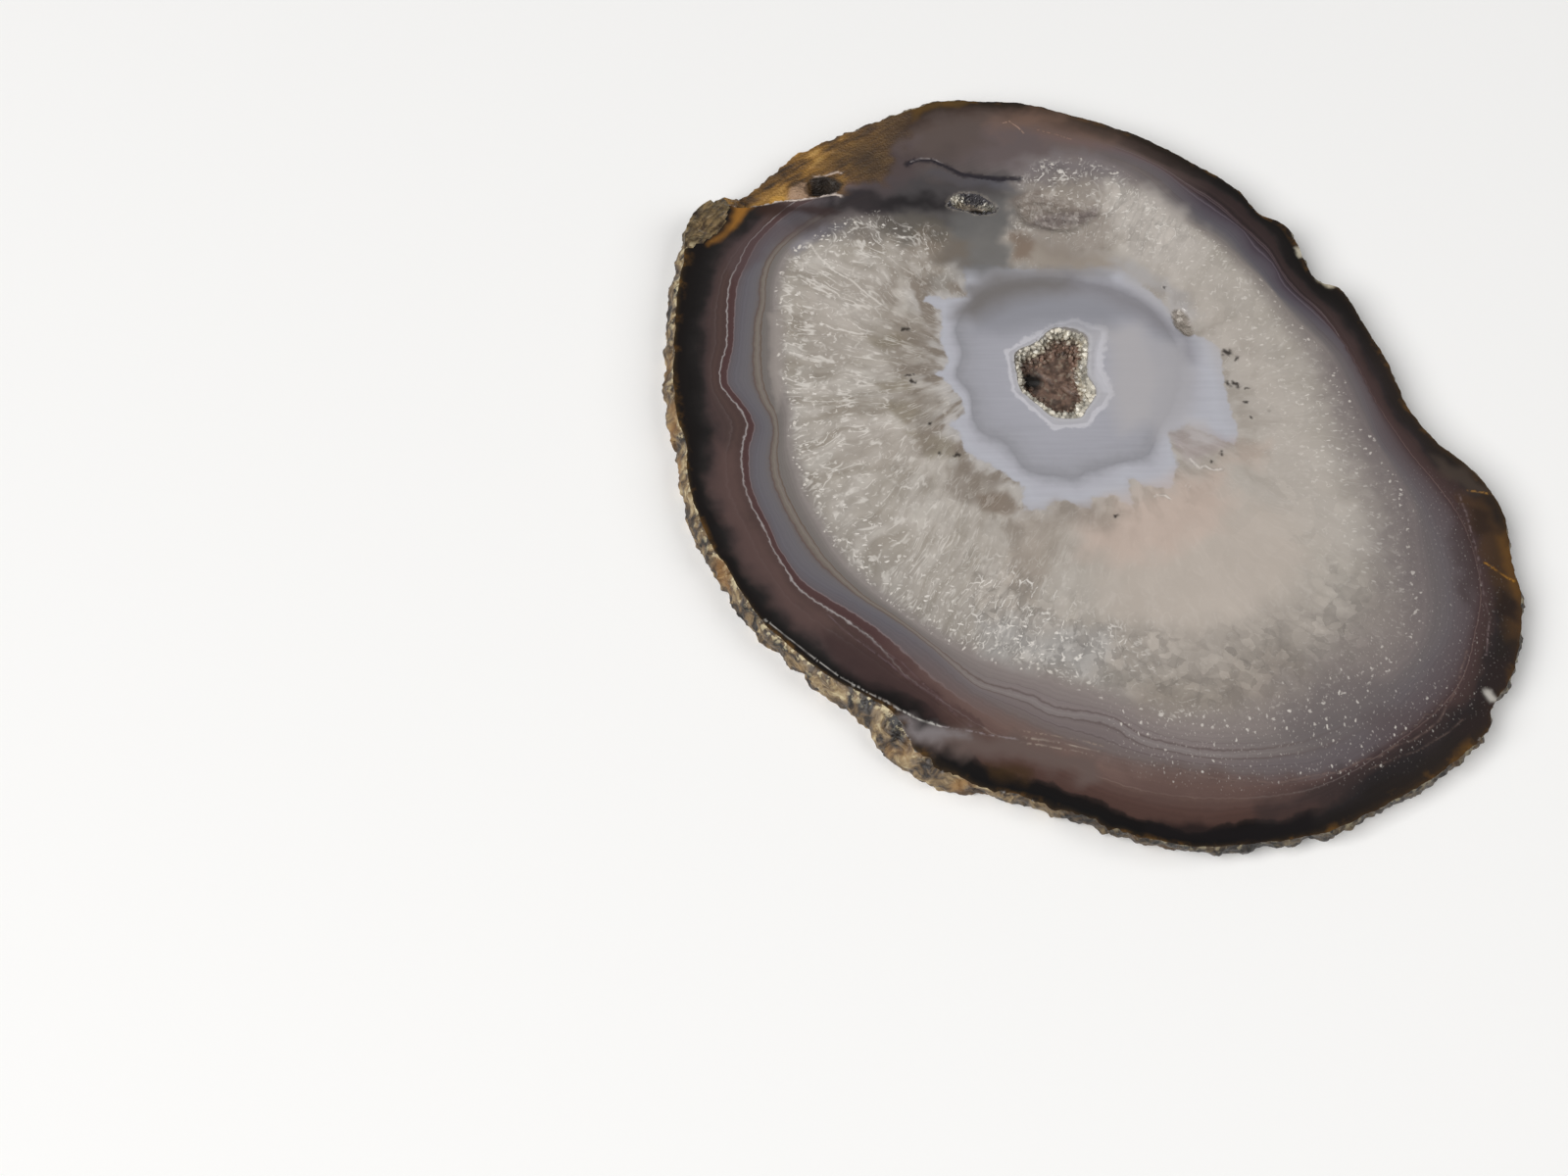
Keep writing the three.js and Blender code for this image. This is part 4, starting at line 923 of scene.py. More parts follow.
# Milky chalcedony in the middle, with a toothed edge against the quartz
teeth = add(tree, "TexNoise", {"Vector": place, "Scale": 0.8, "Detail": 3})
teeth = add(tree, "MapRange", [teeth, 0, 1, -0.9, 0.9])
teeth = add(tree, "Math", [teeth, chalcedony_in], operation="ADD")
milky = add(tree, "MapRange", [teeth, -0.1, 0.6], interpolation_type="SMOOTHSTEP")
mist = add(tree, "MapRange", [teeth, -4, 0, 0, 0.6])
for share in (puffs, rays_in):
    mist = add(tree, "Math", [mist, share], operation="MULTIPLY")
colour = add(tree, "Mix", {0: mist, 6: colour, 7: "#a9a8ad"}, out=2, data_type="RGBA")
middle = add(tree, "MapRange", [layer, 6, 9])
middle = add(tree, "ValToRGB", [middle], stops=[((b - 6) / 3, c) for b, c in MIDDLE_BANDS])
saw = add(tree, "Mapping", {"Vector": place, "Scale": (0.07, 1.3, 1)})
saw = add(tree, "TexNoise", {"Vector": saw, "Scale": 1, "Detail": 3})
saw = add(tree, "MapRange", [saw, 0.3, 0.7, 0.965, 1.035])
middle = add(tree, "VectorMath", {0: middle, "Scale": saw}, operation="SCALE")
colour = add(tree, "Mix", {0: milky, 6: colour, 7: middle}, out=2, data_type="RGBA")
# The patches laid on: stains and milky parts, with painted shadow below the cleft's lip and a painted
# highlight on the facet
colour = add(tree, "Mix", {0: stain_shade_highlight_cover, 6: colour, 7: stain_shade_highlight_in}, out=2, data_type="RGBA")

# Where the crystals show, and clear smoky patches where they meet the milky middle
not_milky = add(tree, "Math", [1, milky], operation="SUBTRACT")
crystal = add(tree, "Math", [quartz_in, not_milky], operation="MULTIPLY")
not_calm = add(tree, "Math", [1, calm_in], operation="SUBTRACT")
rowdy = add(tree, "Math", [not_calm, crystal], operation="MULTIPLY")
smoky = add(tree, "MapRange", [chalcedony_in, -11, -1])
smoke = add(tree, "MapRange", [puffs, 0.53, 0.4])
for share in (smoke, rowdy, rays_in):
    smoky = add(tree, "Math", [smoky, share], operation="MULTIPLY")
colour = add(tree, "Mix", {0: smoky, 6: colour, 7: "#857a6f"}, out=2, data_type="RGBA")

# Grains: broad ones that hardly differ, and long narrow ones with pale outlines where it sparkles
busy = add(tree, "Math", [rays_in, 0.35], operation="MULTIPLY")
busy = add(tree, "Math", [busy, sparkle_in], operation="MAXIMUM")
grain_place = add(tree, "Mapping", {"Vector": swayed, "Scale": (0.72, 0.72, 0.18)})
shades = []
for spot, scale, part, dark, pale in (
        (rough_place, 0.24, 0, 0.95, 1.045), (rough_place, 0.5, 1, 0.8, 1.11),
        (grain_place, 1, 0, 0.86, 1.1), (rough_place, 1.1, 0, 0.975, 1.025)):
    cell = add(tree, "TexVoronoi", {"Vector": spot, "Scale": scale}, out="Color")
    cell = add(tree, "SeparateColor", [cell], out=part)
    shades.append(add(tree, "MapRange", [cell, 0, 1, dark, pale]))
shade, wide, grains, chips = shades
wide = add(tree, "Mix", {0: facets_in, 2: 1, 3: wide})
shade = add(tree, "Math", [shade, wide], operation="MULTIPLY")
sides_of = add(tree, "TexVoronoi", {"Vector": grain_place, "Scale": 1}, feature="DISTANCE_TO_EDGE")
shadow = add(tree, "MapRange", [sides_of, 0.02, 0.2, 0.9, 1.03])
for share in (chips, shadow):
    grains = add(tree, "Math", [grains, share], operation="MULTIPLY")
part = add(tree, "Math", [facets_in, 0.8], operation="MULTIPLY")
part = add(tree, "Math", [busy, part], operation="MAXIMUM")
grains = add(tree, "Mix", {0: part, 2: 1, 3: grains})
shade = add(tree, "Math", [shade, grains], operation="MULTIPLY")
shade = add(tree, "Mix", {0: rowdy, 2: 1, 3: shade})
colour = add(tree, "VectorMath", {0: colour, "Scale": shade}, operation="SCALE")

# Marks in the quartz come in clusters, and each kind reaches its own way in from the quartz's edge
clusters = []
for scale, detail, none, full in ((0.33, 2, 0.45, 0.56), (0.5, 3, 0.5, 0.6), (0.85, 1, 0.56, 0.61),
                                  (1.1, 1, 0.5, 0.6)):
    cloud = add(tree, "TexNoise", {"Vector": place, "Scale": scale, "Detail": detail})
    clusters.append(add(tree, "MapRange", [cloud, none, full]))
broken, here, few, some = clusters
curl_zone, flake_and_glint_zone, streak_zone, dash_zone, set_in = [
    add(tree, "MapRange", [depth_in, none, full, least])
    for none, full, least in ((22, 9, 0.15), (15, 8, 0.1), (13, 5, 0), (5.5, 2, 0), (-0.2, 0.3, 0))]
half = add(tree, "Math", [sparkle_in, 0.55], operation="MULTIPLY")
curl_zone = add(tree, "Math", [curl_zone, half], operation="MAXIMUM")
flake_and_glint_zone = add(tree, "Math", [flake_and_glint_zone, half], operation="MAXIMUM")

# Whitish seams between the blades, and short curls near the edge of the quartz, with flakes there that are
# partly pale flaws and partly painted glints
curls = add(tree, "Mapping", {"Vector": swayed, "Scale": (1.6, 1.6, 0.5)})
curls = add(tree, "TexNoise", {"Vector": curls, "Scale": 1, "Detail": 1})
threads = []
for cloud, none, full in ((blade, 0.045, 0.01), (curls, 0.04, 0.015)):
    off = add(tree, "Math", [cloud, 0.5], operation="SUBTRACT")
    off = add(tree, "Math", [off], operation="ABSOLUTE")
    threads.append(add(tree, "MapRange", [off, none, full]))
seams, curl = threads
clear_of = add(tree, "MapRange", [chalcedony_in, -3, -12, 0.15, 0.7])
for share in (broken, rays_in, clear_of):
    seams = add(tree, "Math", [seams, share], operation="MULTIPLY")
outline = add(tree, "MapRange", [sides_of, 0.055, 0.012])
for share in (here, busy):
    outline = add(tree, "Math", [outline, share], operation="MULTIPLY")
seams = add(tree, "Math", [seams, outline], operation="MAXIMUM")
for share in (few, curl_zone, 0.68):
    curl = add(tree, "Math", [curl, share], operation="MULTIPLY")
# Flakes: single picked cells, painted white as glints in the crystals as well as pale flaws
flake_and_glint_place = add(tree, "Mapping",
                  {"Vector": rough_place, "Rotation": (0, 0, 0.25), "Scale": (0.36, 0.9, 1)})
flakes_and_glints = add(tree, "TexVoronoi", {"Vector": flake_and_glint_place, "Scale": 1}, out="Distance",
             voronoi_dimensions="2D")
picked = add(tree, "TexVoronoi", {"Vector": flake_and_glint_place, "Scale": 1}, out="Color", voronoi_dimensions="2D")
picked = add(tree, "SeparateColor", [picked])
picked = add(tree, "MapRange", [picked, 0.6, 0.9])
flakes_and_glints = add(tree, "MapRange", [flakes_and_glints, 0.17, 0.11])
for share in (picked, flake_and_glint_zone):
    flakes_and_glints = add(tree, "Math", [flakes_and_glints, share], operation="MULTIPLY")
curl = add(tree, "Math", [curl, flakes_and_glints], operation="MAXIMUM")
streaks = add(tree, "Mapping", {"Vector": straight, "Scale": (1.8, 1.8, 0.22)})
streaks = add(tree, "TexVoronoi", {"Vector": streaks, "Scale": 1}, out="Distance")
streaks = add(tree, "MapRange", [streaks, 0.28, 0.12])
for share in (streak_zone, broken, 0.45):
    streaks = add(tree, "Math", [streaks, share], operation="MULTIPLY")
curl = add(tree, "Math", [curl, streaks], operation="MAXIMUM")
white = add(tree, "Math", [seams, curl], operation="MAXIMUM")
for share in (rowdy, whites_in):
    white = add(tree, "Math", [white, share], operation="MULTIPLY")
colour = add(tree, "Mix", {0: white, 6: colour, 7: "#ebe5dd"}, out=2, data_type="RGBA")

# White specks, partly pale flaws and partly painted glints: dense dashes where the quartz starts, and
# rows of them at the near right
dashes = add(tree, "Mapping", {"Vector": swayed, "Scale": (1.7, 1.7, 0.9)})
dashes = add(tree, "TexVoronoi", {"Vector": dashes, "Scale": 1}, out="Distance")
dashes = add(tree, "MapRange", [dashes, 0.34, 0.24])
for share in (dash_zone, set_in, not_milky, not_calm, some, whites_in):
    dashes = add(tree, "Math", [dashes, share], operation="MULTIPLY")
dot_place = add(tree, "Mapping",
                {"Vector": rough_place, "Rotation": (0, 0, 0.35), "Scale": (0.66, 0.38, 1)})
dots = add(tree, "TexVoronoi", {"Vector": dot_place, "Scale": 1, "Randomness": 0.9}, out="Distance",
           voronoi_dimensions="2D")
chosen = add(tree, "TexVoronoi", {"Vector": dot_place, "Scale": 1, "Randomness": 0.9}, out="Color",
             voronoi_dimensions="2D")
chosen = add(tree, "SeparateColor", [chosen])
small = add(tree, "MapRange", [chosen, 0, 1, 0.04, 0.155])
small = add(tree, "Math", [small, speckle_in], operation="MULTIPLY")
chosen = add(tree, "MapRange", [chosen, 0.2, 1, 0, 0.8])
dots = add(tree, "Math", [small, dots], operation="SUBTRACT")
dots = add(tree, "MapRange", [dots, -0.02, 0.05])
for share in (speckle_in, chosen):
    dots = add(tree, "Math", [dots, share], operation="MULTIPLY")
# Tiny bright points, partly painted glints
dust_and_glint_place = add(tree, "Mapping", {"Vector": rough_place, "Rotation": (0, 0, -0.2), "Scale": (1.2, 0.7, 1)})
dust_and_glints = add(tree, "TexVoronoi", {"Vector": dust_and_glint_place, "Scale": 1}, out="Distance", voronoi_dimensions="2D")
dust_and_glints = add(tree, "MapRange", [dust_and_glints, 0.13, 0.07, 0, 0.22])
dust_and_glints = add(tree, "Math", [dust_and_glints, speckle_in], operation="MULTIPLY")
specks_and_glints = dashes
for more in (dots, dust_and_glints):
    specks_and_glints = add(tree, "Math", [specks_and_glints, more], operation="MAXIMUM")
colour = add(tree, "Mix", {0: specks_and_glints, 6: colour, 7: "#ddd6cd"}, out=2, data_type="RGBA")

# Ochre on the lobe, in long cloudy fibres, and dull sparkle in the hollows
fibres = add(tree, "Mapping", {"Vector": place, "Rotation": (0, 0, 0.6), "Scale": (5, 1.1, 2)},
             vector_type="TEXTURE")
fibres = add(tree, "TexNoise", {"Vector": fibres, "Scale": 1, "Detail": 5})
clouds = add(tree, "TexNoise", {"Vector": place, "Scale": 0.16, "Detail": 3})
fibres = add(tree, "Mix", {0: 0.55, 2: fibres, 3: clouds})
ochre = add(tree, "ValToRGB", [fibres], stops=[
    (0.36, "#32251a"), (0.42, "#513a20"), (0.48, "#715126"), (0.55, "#936b30"), (0.63, "#b28847"),
    (0.72, "#c8a264")])
across = add(tree, "SeparateXYZ", [place], out=0)
shaded = add(tree, "MapRange", [across, -46, -32, 0, 0.85])
ochre = add(tree, "Mix", {0: shaded, 6: ochre, 7: "#463526"}, out=2, data_type="RGBA")
crumbs = add(tree, "TexVoronoi", {"Vector": place, "Scale": 1.2}, out="Color")
crumbs = add(tree, "SeparateColor", [crumbs])
drusy = add(tree, "ValToRGB", [crumbs],
            stops=[(0, "#7c736a"), (0.5, "#8b8278"), (0.85, "#978d84"), (0.97, "#bdb4aa")])
for cover, coat in ((lobe_in, ochre), (druse_in, drusy), (paint_cover, paint_in)):
    colour = add(tree, "Mix", {0: cover, 6: colour, 7: coat}, out=2, data_type="RGBA")

# Glossy where it is polished, and rough and dull on the lobe and in the hollows
grit = add(tree, "TexNoise", {"Vector": place, "Scale": 2.2, "Detail": 4})
raw = add(tree, "Math", [lobe_in, druse_in], operation="MAXIMUM")
gloss = add(tree, "MapRange", [raw, 0, 1, 0.22, 0.6])
bumps = add(tree, "Bump", {"Strength": raw, "Distance": 0.0004, "Height": grit}, out=0)
surface = add(tree, "BsdfPrincipled",
              {"Base Color": colour, "Roughness": gloss, "IOR": 1.54, "Normal": bumps})
add(tree, "OutputMaterial", {"Surface": surface})

# Weathered rind: the crust of the nodule, stained by iron and never polished, tan and brown, with painted
# shade darkening its pits and painted highlight on its lumps. It flakes pale at its upper lip, where a
# painted highlight brightens it too, and is browner on the knob and duller on the far side.
rind, tree, place = start_material("weathered_rind")
pits = add(tree, "TexNoise",
           {"Vector": place, "Scale": 0.3, "Detail": 4, "Roughness": 0.55, "Distortion": 1.2})
# Dark in the pits and pale on the lumps of the same noise that makes the bumps: painted shade and painted
# highlight over the crust's own tan
crust_colour = add(tree, "ValToRGB", [pits], stops=[
    (0.36, "#1b1510"), (0.44, "#3c2f23"), (0.52, "#6a573e"), (0.61, "#8d7755"), (0.72, "#bcab86")])
height = add(tree, "SeparateXYZ", [place], out=2)
# Pale flakes near the top of the rim, partly a painted highlight along its upper lip
lip = add(tree, "MapRange", [height, 4.6, 5.9])
flakes_and_glints = add(tree, "TexNoise", {"Vector": place, "Scale": 0.95, "Detail": 3})
flakes_and_glints = add(tree, "MapRange", [flakes_and_glints, 0.52, 0.6, 0, 0.8])
flakes_and_glints = add(tree, "Math", [lip, flakes_and_glints], operation="MULTIPLY")
crust_colour = add(tree, "Mix", {0: flakes_and_glints, 6: crust_colour, 7: "#d2c39d"}, out=2, data_type="RGBA")
iron = add(tree, "TexNoise", {"Vector": place, "Scale": 0.1, "Detail": 2})
iron = add(tree, "MapRange", [iron, 0.54, 0.66, 0, 0.6])
crust_colour = add(tree, "Mix", {0: iron, 6: crust_colour, 7: "#8f6326"}, out=2, data_type="RGBA")
ridges = add(tree, "Mapping", {"Vector": place, "Rotation": (0, 0, 0.9), "Scale": (2.2, 0.9, 1.5)},
             vector_type="TEXTURE")
ridges = add(tree, "TexNoise", {"Vector": ridges, "Scale": 1, "Detail": 3, "Distortion": 0.5})
knob_colour = add(tree, "ValToRGB", [ridges],
                  stops=[(0.32, "#251c14"), (0.42, "#453828"), (0.52, "#5f5037"), (0.64, "#806b4a")])
on_knob = add(tree, "VectorMath", [place, (-66, 49.5, 5)], out="Value", operation="DISTANCE")
on_knob = add(tree, "MapRange", [on_knob, 9, 7, 0, 0.9])
crust_colour = add(tree, "Mix", {0: on_knob, 6: crust_colour, 7: knob_colour}, out=2, data_type="RGBA")
across = add(tree, "SeparateXYZ", [place], out=0)
dull = add(tree, "MapRange", [across, -20, 10, 1, 0.42])
crust_colour = add(tree, "VectorMath", {0: crust_colour, "Scale": dull}, operation="SCALE")
bumps = add(tree, "Bump", {"Strength": 1, "Distance": 0.001, "Height": pits}, out=0)
surface = add(tree, "BsdfPrincipled",
              {"Base Color": crust_colour, "Roughness": 0.5, "IOR": 1.54, "Normal": bumps})
add(tree, "OutputMaterial", {"Surface": surface})

mesh.materials.append(agate)
mesh.materials.append(rind)
which = np.zeros(len(all_tiles), np.int32)
which[len(face_tiles):len(face_tiles) + len(rim_tiles)] = 1
on_knob = inside_by(KNOB_SKIN, points[:, :2] + np.column_stack([ragged, ragged])) > 0
which[:len(face_tiles)][on_knob[face_tiles].all(1)] = 1
mesh.polygons.foreach_set("material_index", which)
mesh.update()

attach(agate_stone, "root")
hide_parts("agate_slice")


# The crystals of the hollow in the middle: a crust of small quartz points that grew on its wall. It
# is part of the stone, cream where the light falls on it and smoky brown on the floor.
CENTRAL_CRYSTALS = {"spacing": 0.75, "radius": 0.5, "length": 1.5, "seed": 7}

# The rings of a crust, as shares of its outline; how far out its crystals start; its gap to the stone
CRUST_RINGS = [0.985, 0.95, 0.9, 0.83, 0.74, 0.6, 0.42, 0.25, 0.1]
WALL_FROM = 0.62
STONE_GAP = 0.12


# A thin closed bowl that lies on the wall of a hollow; its upper side is marked for the crystals
def crust_bowl(name, outline, count, lining, top):
    loop = smooth_loop(outline, count)
    middle = loop.mean(0)
    rings = [middle + (loop - middle) * share for share in CRUST_RINGS]
    flat = np.vstack(rings + [middle[None]])
    outer = np.minimum(face_height(flat) + STONE_GAP, top)
    spots = np.column_stack([flat, outer])
    inner = np.minimum(outer + lining * (1 + 0.8 * wave(spots, 1.4)), top)
    inner[:count] = outer[:count]
    upper = np.column_stack([flat, inner])
    lower = np.column_stack([flat, outer])[count:]
    tops = []
    around = np.arange(count)
    after = (around + 1) % count
    last = len(rings) * count
    for index in range(len(rings) - 1):
        a, b = index * count, (index + 1) * count
        tops += list(zip(a + around, a + after, b + after, b + around))
    tops += [(last - count + i, last - count + j, last) for i, j in zip(around, after)]
    bottoms = [[i if i < count else len(upper) + i - count for i in reversed(face)] for face in tops]
    bowl = bpy.data.meshes.new(name)
    bowl.from_pydata((np.vstack([upper, lower]) * MM).tolist(), [],
                     [tuple(int(i) for i in face) for face in tops + bottoms])
    walls = count * sum(share > WALL_FROM for share in CRUST_RINGS)
    grows = bowl.attributes.new("grows", "BOOLEAN", "FACE")
    grows.data.foreach_set("value", [i < walls for i in range(len(tops) + len(bottoms))])
    return put(name, bowl)


# The shape tree that stands six-sided quartz points on a bowl: each is a prism with a pointed top, its
# foot sunk in the crust, leaning at random and of a random size
def druse_tree():
    tree = bpy.data.node_groups.new("quartz_druse", "GeometryNodeTree")
    for name, kind in {"Bowl": "Geometry", "Spacing": "Float", "Radius": "Float", "Length": "Float",
                       "Lean": "Float", "Seed": "Int", "Finish": "Material", "Druse": "Geometry"}.items():
        tree.interface.new_socket(name, in_out="OUTPUT" if name == "Druse" else "INPUT",
                                  socket_type="NodeSocket" + kind)
    given = tree.nodes.new("NodeGroupInput").outputs
    grows = add(tree, "GeometryNodeInputNamedAttribute", {"Name": "grows"}, data_type="BOOLEAN")
    spread = add(tree, "GeometryNodeDistributePointsOnFaces", {
        "Mesh": given["Bowl"], "Selection": grows, "Distance Min": given["Spacing"],
        "Density Max": 6e6, "Seed": given["Seed"]}, distribute_method="POISSON")
    turned = spread.node.outputs["Rotation"]
    cone = add(tree, "GeometryNodeMeshCone", {"Vertices": 6, "Side Segments": 2, "Radius Top": 0,
                                              "Radius Bottom": given["Radius"], "Depth": given["Length"]})
    spot = add(tree, "GeometryNodeInputPosition")
    height = add(tree, "SeparateXYZ", [spot], out=2)
    low = add(tree, "Math", [given["Length"], 0.3], operation="MULTIPLY")
    high = add(tree, "Math", [given["Length"], 0.8], operation="MULTIPLY")
    above = add(tree, "FunctionNodeCompare", [height, low], operation="GREATER_THAN")
    below = add(tree, "FunctionNodeCompare", [height, high], operation="LESS_THAN")
    waist = add(tree, "FunctionNodeBooleanMath", [above, below], operation="AND")
    wide = add(tree, "VectorMath", [spot, (2, 2, 1.2)], operation="MULTIPLY")
    cone = add(tree, "GeometryNodeSetPosition", {"Geometry": cone, "Selection": waist, "Position": wide})
    sunk = add(tree, "Math", [given["Length"], -0.4], operation="MULTIPLY")
    sunk = add(tree, "CombineXYZ", {"Z": sunk})
    cone = add(tree, "GeometryNodeSetPosition", {"Geometry": cone, "Offset": sunk})
    lean = add(tree, "Math", [given["Lean"], -1], operation="MULTIPLY")
    least = add(tree, "CombineXYZ", {"X": lean, "Y": lean, "Z": 0})
    most = add(tree, "CombineXYZ", {"X": given["Lean"], "Y": given["Lean"], "Z": 6.28})
    tilt = add(tree, "FunctionNodeRandomValue", {0: least, 1: most, "Seed": given["Seed"]},
               data_type="FLOAT_VECTOR")
    tilt = add(tree, "FunctionNodeEulerToRotation", [tilt])
    turned = add(tree, "FunctionNodeRotateRotation", [turned, tilt], rotation_space="LOCAL")
    size = add(tree, "FunctionNodeRandomValue", {2: 0.5, 3: 1.25, "Seed": given["Seed"]}, out=1)
    points = add(tree, "GeometryNodeInstanceOnPoints",
                 {"Points": spread, "Instance": cone, "Rotation": turned, "Scale": size})
    tone = add(tree, "FunctionNodeRandomValue", {2: 0, 3: 1, "Seed": 3}, out=1)
    points = add(tree, "GeometryNodeStoreNamedAttribute",
                 {"Geometry": points, "Name": "tone", "Value": tone}, domain="INSTANCE")
    made = add(tree, "GeometryNodeRealizeInstances", [points])
    joined = add(tree, "GeometryNodeJoinGeometry")
    tree.links.new(made, joined.node.inputs[0])
    tree.links.new(given["Bowl"], joined.node.inputs[0])
    joined = add(tree, "GeometryNodeSetMaterial", {"Geometry": joined, "Material": given["Finish"]})
    result = tree.nodes.new("NodeGroupOutput")
    tree.links.new(joined, result.inputs[0])
    return tree


# Grows the druse on a bowl, and leaves it as a plain mesh that stays under the face
def grow_druse(piece, tree, sizes, finish):
    grower = piece.modifiers.new("druse", "NODES")
    grower.node_group = tree
    values = {"Spacing": sizes["spacing"] * MM, "Radius": sizes["radius"] * MM,
              "Length": sizes["length"] * MM, "Lean": 0.5, "Seed": sizes["seed"], "Finish": finish}
    for item in tree.interface.items_tree:
        if item.name in values:
            grower[item.identifier] = values[item.name]
    grown = bpy.data.meshes.new_from_object(piece.evaluated_get(bpy.context.evaluated_depsgraph_get()))
    piece.modifiers.remove(grower)
    grown.name = piece.name
    spots = np.zeros(len(grown.vertices) * 3)
    grown.vertices.foreach_get("co", spots)
    spots[2::3] = np.minimum(spots[2::3], (THICKNESS - 0.03) * MM)
    grown.vertices.foreach_set("co", spots)
    piece.data = grown


# Drusy quartz: clear to milky points with glassy faces, cream at the rim, where painted light falls on them,
# and smoky lower down
crystals, tree, place = start_material("drusy_quartz")
height = add(tree, "SeparateXYZ", [place], out=2)
tone = add(tree, "Attribute", out="Fac", attribute_name="tone")
cloud = add(tree, "TexNoise", {"Vector": place, "Scale": 0.9, "Detail": 4, "Roughness": 0.65})
# Paler the higher a crystal stands: partly painted light on the upper crystals, partly smoky quartz on the
# floor
rise = add(tree, "MapRange", [height, 2, 4.8])
rise = add(tree, "Math", [rise, cloud], operation="ADD")
rise = add(tree, "Math", [rise, -0.45], operation="ADD")
crystal_colour = add(tree, "ValToRGB", [rise], stops=[
    (0, "#7f6557"), (0.2, "#957766"), (0.34, "#83695b"), (0.5, "#a39483"), (0.75, "#cbc1ac"),
    (1, "#e4ddcd")])
crumb = add(tree, "TexVoronoi", {"Vector": place, "Scale": 2}, out="Color")
crumb = add(tree, "SeparateColor", [crumb])
crumb = add(tree, "MapRange", [crumb, 0.8, 0.95, 0, 0.5])
crystal_colour = add(tree, "Mix", {0: crumb, 6: crystal_colour, 7: "#b3a592"}, out=2, data_type="RGBA")
light = add(tree, "MapRange", [tone, 0, 1, 0.66, 1.15])
clumps = add(tree, "TexNoise", {"Vector": place, "Scale": 0.75, "Detail": 2})
clumps = add(tree, "MapRange", [clumps, 0.4, 0.53, 0.5])
light = add(tree, "Math", [light, clumps], operation="MULTIPLY")
crystal_colour = add(tree, "VectorMath", {0: crystal_colour, "Scale": light}, operation="SCALE")
# Painted shade: the crystals darken to near black in the deep undercut at the left of the middle hollow, and
# in a second dark pocket
for spot, near, far, least in (((-6.9, 13.8, 3.2), 1.6, 2.8, 0.04), ((-1.3, 19.2, 4), 0.8, 1.9, 0.1)):
    gap = add(tree, "VectorMath", [place, spot], out="Value", operation="DISTANCE")
    gap = add(tree, "MapRange", [gap, near, far, least])
    crystal_colour = add(tree, "VectorMath", {0: crystal_colour, "Scale": gap}, operation="SCALE")
# Painted shade: the deep slit of the side hollow, dark grey across its middle
slit = add(tree, "Mapping", {"Vector": place, "Location": (-16.6, 52.8, 5), "Rotation": (0, 0, -0.3),
                             "Scale": (4.7, 1.25, 9)}, vector_type="TEXTURE")
slit = add(tree, "VectorMath", [slit], out="Value", operation="LENGTH")
slit = add(tree, "MapRange", [slit, 0.8, 1.15])
beyond = add(tree, "SeparateXYZ", [place], out=1)
beyond = add(tree, "MapRange", [beyond, 40, 42])
slit = add(tree, "Math", [slit, beyond], operation="MULTIPLY")
crystal_colour = add(tree, "Mix", {0: slit, 6: crystal_colour, 7: "#4c494c"}, out=2, data_type="RGBA")
# Painted shade: the crystals darken to near black in the slit's deepest part
painted_slot_shade = add(tree, "Mapping", {"Vector": place, "Location": (-14.8, 52.3, 4.6), "Rotation": (0, 0, -0.3),
                             "Scale": (3, 0.7, 4)}, vector_type="TEXTURE")
painted_slot_shade = add(tree, "VectorMath", [painted_slot_shade], out="Value", operation="LENGTH")
painted_slot_shade = add(tree, "MapRange", [painted_slot_shade, 0.6, 1.1, 0.08])
crystal_colour = add(tree, "VectorMath", {0: crystal_colour, "Scale": painted_slot_shade}, operation="SCALE")
dull_floor = add(tree, "MapRange", [height, 2.6, 4.2, 0.6, 0.22])
surface = add(tree, "BsdfPrincipled", {"Base Color": crystal_colour, "Roughness": dull_floor, "IOR": 1.544})
add(tree, "OutputMaterial", {"Surface": surface})

druse_shape = druse_tree()
central_crystals = crust_bowl("central_crystals", CENTRAL_VUG, 96, 0.7, 5.9)
grow_druse(central_crystals, druse_shape, CENTRAL_CRYSTALS, crystals)
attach(central_crystals, "root")
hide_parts("central_vug_crystals")


# The crystals of the slit-shaped hollow beyond it: the same quartz, finer
SIDE_CRYSTALS = {"spacing": 0.4, "radius": 0.25, "length": 1.0, "seed": 19}
side_crystals = crust_bowl("side_crystals", SIDE_VUG, 64, 0.4, 5.8)
grow_druse(side_crystals, druse_shape, SIDE_CRYSTALS, crystals)
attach(side_crystals, "root")
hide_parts("side_vug_crystals")


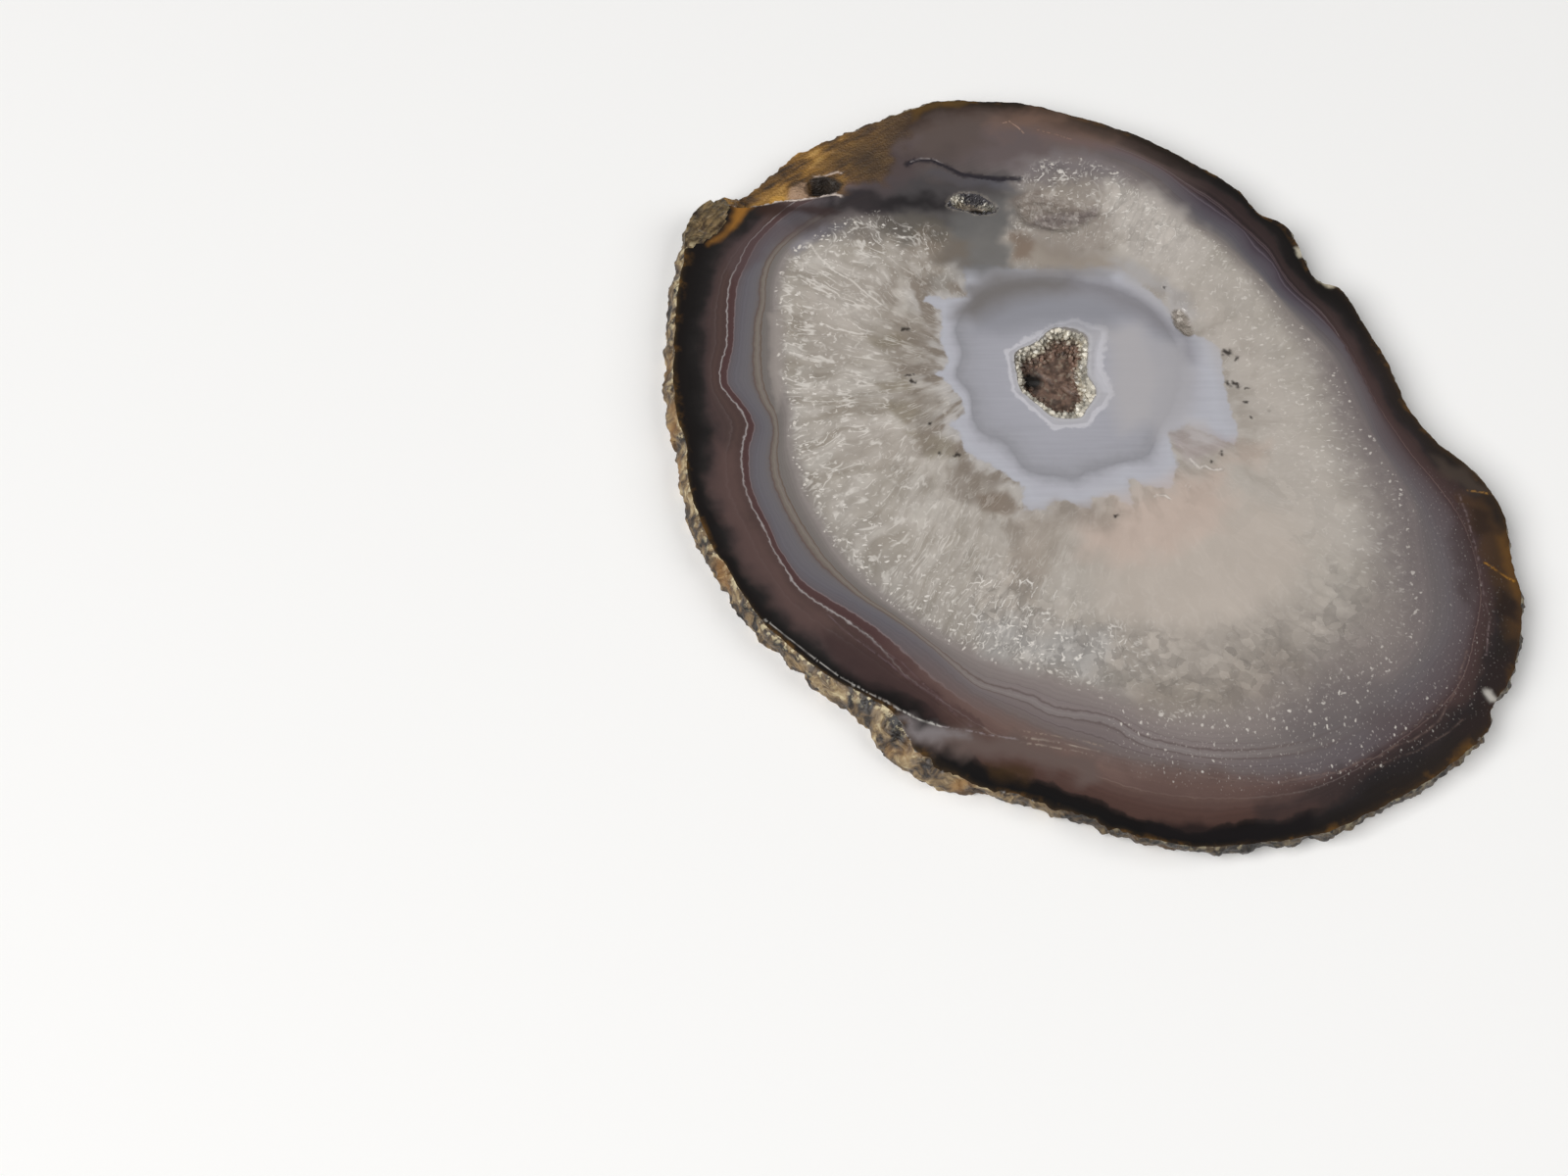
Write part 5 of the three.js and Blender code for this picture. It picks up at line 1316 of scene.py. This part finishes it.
# The pale floor that the slice lies on, and plain soft studio light. A low pale screen stands round
# it, so that the floor never ends against the dark: it is only seen, and lights nothing
floor_mesh = bpy.data.meshes.new("floor")
floor_mesh.from_pydata([(-3, -3, 0), (3, -3, 0), (3, 3, 0), (-3, 3, 0)], [], [(0, 1, 2, 3)])
floor = put("floor", floor_mesh)
paper = bpy.data.materials.new("white_paper")
paper.use_nodes = True
matt = paper.node_tree.nodes["Principled BSDF"]
matt.inputs["Base Color"].default_value = (*linear("#fbfaf8"), 1)
matt.inputs["Roughness"].default_value = 0.9
floor_mesh.materials.append(paper)

SCREEN_RADIUS, SCREEN_HEIGHT, SCREEN_SIDES = 1.25, 0.6, 96
screen_rows = []
for rise in (0, SCREEN_HEIGHT):
    for turn in np.linspace(0, 2 * math.pi, SCREEN_SIDES, endpoint=False):
        screen_rows.append((SCREEN_RADIUS * math.cos(turn), SCREEN_RADIUS * math.sin(turn), rise))
screen_sides = [(i, i + SCREEN_SIDES, (i + 1) % SCREEN_SIDES + SCREEN_SIDES, (i + 1) % SCREEN_SIDES)
                for i in range(SCREEN_SIDES)]
screen_mesh = bpy.data.meshes.new("screen")
screen_mesh.from_pydata(screen_rows, [], screen_sides)
screen = put("screen", screen_mesh)
screen.visible_diffuse = False
screen.visible_glossy = False
screen.visible_shadow = False
cloth = bpy.data.materials.new("pale_screen")
cloth.use_nodes = True
cloth.node_tree.nodes.clear()
glow = add(cloth.node_tree, "Emission", ["#efeeec"])
add(cloth.node_tree, "OutputMaterial", {"Surface": glow})
screen_mesh.materials.append(cloth)

bpy.context.scene.view_settings.view_transform = "Standard"
world = bpy.data.worlds.new("studio")
bpy.context.scene.world = world
world.use_nodes = True
world.node_tree.nodes["Background"].inputs["Color"].default_value = (0.95, 0.97, 1, 1)
world.node_tree.nodes["Background"].inputs["Strength"].default_value = 0.1
for name, spot, size, power in [("key_light", (-1.4, -1.0, 1.8), 1.8, 62),
                                ("fill_light", (1.8, -0.4, 1.6), 1.8, 23.5)]:
    lamp = bpy.data.lights.new(name, "AREA")
    lamp.size = size
    lamp.energy = power
    holder = put(name, lamp)
    holder.location = spot
    holder.rotation_euler = (-Vector(spot)).to_track_quat("-Z", "Y").to_euler()

# The camera stands as the photograph's did: 33 cm up, 30 degrees off straight down
lens = bpy.data.cameras.new("camera")
lens.lens = 50
lens.sensor_width = 36
camera = put("camera", lens)
camera.location = (-0.05214, -0.21769, 0.32778)
camera.rotation_euler = (math.radians(30), 0, 0)
bpy.context.scene.camera = camera
